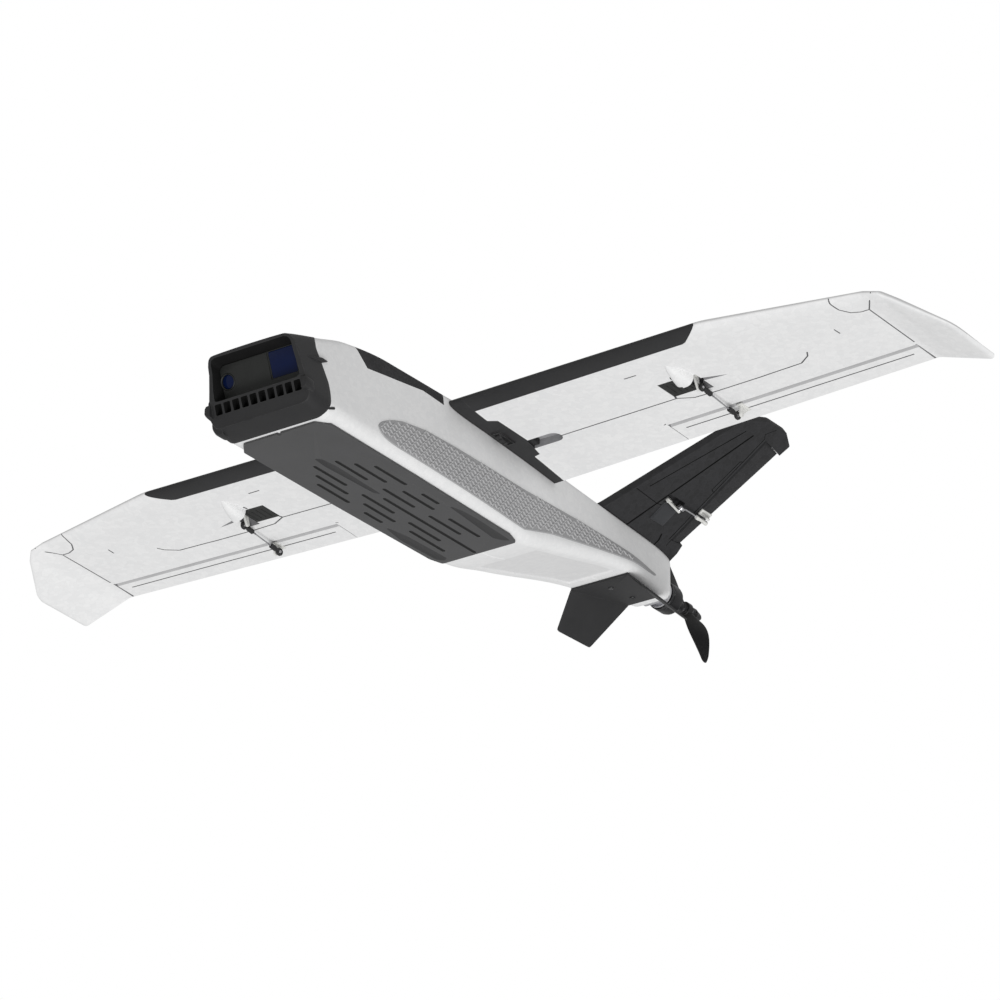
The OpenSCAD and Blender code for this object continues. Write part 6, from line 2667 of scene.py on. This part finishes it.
# ---------------------------------------------------------------------------------------
# Equipment
# ---------------------------------------------------------------------------------------
@dataclass
class Equipment:
    """Everything in the bay: tray, battery, strap and boards, and the wing spar."""

    palette: Palette
    pattern: Pattern

    def build(self) -> None:
        """Makes the equipment."""
        self._tray()
        self._battery()
        self._strap()
        self._boards()
        low, high = (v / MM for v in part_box("main_spar"))
        place = shift(0, (low.y + high.y) / 2, (low.z + high.z) / 2) @ spin(90, "Y")
        spar = lathe("main_spar_tube",
                     [(3, low.x), (3.8, low.x), (4, low.x + 0.3), (4, high.x - 0.3), (3.8, high.x),
                      (3, high.x)], place, 40)
        publish(sleek(dress(spar, self.palette["carbon"]), 30), "airframe", "carbon", "main_spar")

    def _tray(self) -> None:
        """Ply tray with lightening holes."""
        low, high = (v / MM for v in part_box("equipment_tray"))
        outline = rounded(rect(low.x, low.y, high.x, high.y), 3, 4)
        tray = prism("equipment_tray_ply", outline, low.z, high.z)
        hole = prism("hole", arc(0, 0, 4.0, 0, 345, 23), low.z - 1, high.z + 1)
        spots = [shift(x, low.y + 8 + 16 * k, 0) for x in (-24.5, 24.5) for k in range(9)]
        boolean(tray, [self.pattern.spread("holes", hole, spots)])
        publish(sleek(dress(tray, self.palette["plywood"]), 30), "airframe", "plywood",
                "equipment_tray")

    def _battery(self) -> None:
        """Shrink-wrapped pack with two side seams, leads and balance plug."""
        low, high = (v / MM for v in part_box("battery"))
        pack = block("battery_pack", low, high, edge=3.2)
        seams = [tube("seam", [(low.x - 0.1, low.y + 6, z), (low.x - 0.1, high.y - 6, z)], 0.3, 6)
                 for z in (low.z + 9, low.z + 18)]
        wrap = dress(join("battery_pack", [pack, *seams]), self.palette["battery_wrap"])
        leads = []
        for x, finish in ((-3.2, "wire_red"), (3.2, "rubber_black")):
            path = [(x, high.y - 3, high.z - 6), (x, high.y + 3, high.z - 5.4),
                    (x * 1.2, high.y + 6, high.z - 4.6)]
            leads.append(dress(tube("lead", path, 1.3, 12), self.palette[finish]))
        plug = dress(block("plug", (-6.5, high.y + 4.6, high.z - 8), (6.5, high.y + 11, high.z - 1),
                           edge=0.7), self.palette["rubber_black"])
        publish(sleek(join("battery_pack", [wrap, *leads, plug]), 35), "airframe", "battery_wrap",
                "battery")

    def _strap(self) -> None:
        """Webbing strap round battery and tray."""
        low, high = (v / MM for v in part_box("battery_strap"))
        outer = rounded(rect(low.x, low.z, high.x, high.z), 3, 5)
        inner = rounded(rect(low.x + 1.5, low.z + 1.5, high.x - 1.5, high.z - 1.5), 1.8, 5)
        strap = prism("battery_strap_webbing", outer, low.y, high.y, "y")
        boolean(strap, [prism("inside", inner, low.y - 1, high.y + 1, "y")])
        tail = block("tail", (-8, low.y + 0.6, high.z - 0.2),
                     (high.x - 3, high.y - 0.6, high.z + 0.9), edge=0.3)
        publish(sleek(dress(join("battery_strap_webbing", [strap, tail]),
                            self.palette["strap_webbing"]), 30), "airframe", "strap_webbing",
                "battery_strap")

    def _boards(self) -> None:
        """Flight controller in its case and the speed controller, with small parts on both."""
        low, high = (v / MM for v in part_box("flight_controller"))
        board = dress(block("board", low, (high.x, high.y, low.z + 1.6)),
                      self.palette["circuit_board"])
        case = dress(block("case", (low.x + 4, low.y + 4, low.z + 1.6),
                           (high.x - 4, high.y - 4, high.z), edge=1.2),
                     self.palette["black_plastic"])
        pins = [shift(low.x + 2 + 2.54 * i, y, low.z + 1.6) for i in range(13)
                for y in (low.y + 1.8, high.y - 1.8)]
        pin = self.pattern.spread("pins", block("pin", (-0.32, -0.32, -0.4), (0.32, 0.32, 2.3)),
                                  pins, self.palette["aluminium"])
        publish(sleek(join("flight_controller_board", [board, case, pin]), 30), "airframe",
                "circuit_board", "flight_controller")
        low, high = (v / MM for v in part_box("speed_controller"))
        core = dress(block("core", (low.x, low.y, low.z), (high.x, high.y, low.z + 2)),
                     self.palette["circuit_board"])
        sleeve = dress(block("sleeve", (low.x + 0.3, low.y + 4, low.z + 1),
                             (high.x - 0.3, high.y - 4, high.z), edge=1.4),
                       self.palette["black_plastic"])
        pads = [shift(low.x + 4 + 4 * i, y, low.z + 2) for i in range(5)
                for y in (low.y + 2, high.y - 2)]
        pad = self.pattern.spread("pads", block("pad", (-1.2, -1.0, -0.3), (1.2, 1.0, 0.5)), pads,
                                  self.palette["aluminium"])
        publish(sleek(join("speed_controller_board", [core, sleeve, pad]), 30), "airframe",
                "circuit_board", "speed_controller")


# ---------------------------------------------------------------------------------------
# Studio
# ---------------------------------------------------------------------------------------
@dataclass
class Studio:
    """Pale floor, soft light and camera; the camera looks up at the underside."""

    eye: Triple = (3.010157, -3.891993, -2.305907)
    azimuth: float = 37.548
    elevation: float = -25.62
    roll: float = 1.908
    lens: float = 224.63
    floor_z: float = -9.0
    floor_half: float = 60.0
    key_power: float = 1.7
    key_spread: float = 24
    key_aim: Triple = (-0.47, 0.38, 0.80)
    glow: float = 0.56

    def build(self) -> None:
        """Sets the scene."""
        scene = bpy.context.scene
        scene.view_settings.view_transform = "Standard"
        self._world(scene)
        self._floor()
        self._camera(scene)
        lamp = bpy.data.lights.new("key", "SUN")
        lamp.energy, lamp.angle = self.key_power, math.radians(self.key_spread)
        obj = bpy.data.objects.new("key", lamp)
        obj.rotation_euler = Vector(self.key_aim).to_track_quat("-Z", "Y").to_euler()
        scene.collection.objects.link(obj)

    def _world(self, scene: bpy.types.Scene) -> None:
        """Even, nearly white surroundings.

        Args:
            scene: the scene.
        """
        world = bpy.data.worlds.new("studio")
        scene.world = world
        world.use_nodes = True
        w = Wiring(world.node_tree)
        seen = w.add("ShaderNodeLightPath").outputs["Is Camera Ray"]
        glow = w.math("MULTIPLY_ADD", seen, 0.44, self.glow)
        back = world.node_tree.nodes["Background"]
        back.inputs[0].default_value = (1, 1, 1, 1)
        w.link(glow, back.inputs[1])

    def _floor(self) -> None:
        """Plain pale floor, far enough below for the low camera."""
        h, z = self.floor_half, self.floor_z
        mesh = bpy.data.meshes.new("floor")
        mesh.from_pydata([(-h, -h, z), (h, -h, z), (h, h, z), (-h, h, z)], [], [(0, 1, 2, 3)])
        floor = bpy.data.objects.new("floor", mesh)
        bpy.context.scene.collection.objects.link(floor)
        paint = bpy.data.materials.new("floor_paint")
        paint.use_nodes = True
        wiring = Wiring(paint.node_tree)
        shader = paint.node_tree.nodes["Principled BSDF"]
        spot = wiring.noise(wiring.add("ShaderNodeTexCoord").outputs["Object"], 0.8, 3.0)
        wiring.link(wiring.mix(spot.outputs[0], (0.86, 0.86, 0.86, 1), (0.9, 0.9, 0.9, 1)),
                    shader.inputs["Base Color"])
        shader.inputs["Roughness"].default_value = 0.9
        floor.data.materials.append(paint)
        floor.visible_shadow = False

    def _camera(self, scene: bpy.types.Scene) -> None:
        """Long lens from ahead, port and below.

        Args:
            scene: the scene.
        """
        az, el, roll = (math.radians(v) for v in (self.azimuth, self.elevation, self.roll))
        back = Vector((math.sin(az) * math.cos(el), -math.cos(az) * math.cos(el), math.sin(el)))
        right = (-back).cross(Vector((0, 0, 1))).normalized()
        up = right.cross(-back)
        across = right * math.cos(roll) + up * math.sin(roll)
        rise = up * math.cos(roll) - right * math.sin(roll)
        data = bpy.data.cameras.new("camera")
        data.lens, data.sensor_width = self.lens, 36.0
        data.clip_end = 300.0
        camera = bpy.data.objects.new("camera", data)
        camera.matrix_world = Matrix.Translation(self.eye) @ Matrix((across, rise,
                                                                     back)).transposed().to_4x4()
        scene.collection.objects.link(camera)
        scene.camera = camera


def main() -> None:
    """Builds the whole drone and its studio."""
    logging.basicConfig(level=logging.INFO, format="%(name)s: %(message)s")
    palette = Palette(Effects())
    pattern = Pattern()
    fuselage = Fuselage(palette, pattern)
    for part in (fuselage, SkidPlate(palette), Nose(palette, pattern, fuselage),
                 Canopy(palette, fuselage), Wing(palette, pattern), Tail(palette),
                 Drive(palette, pattern), Equipment(palette, pattern)):
        LOG.info("building %s", type(part).__name__)
        part.build()
    Studio().build()


if __name__ == "__main__":
    main()
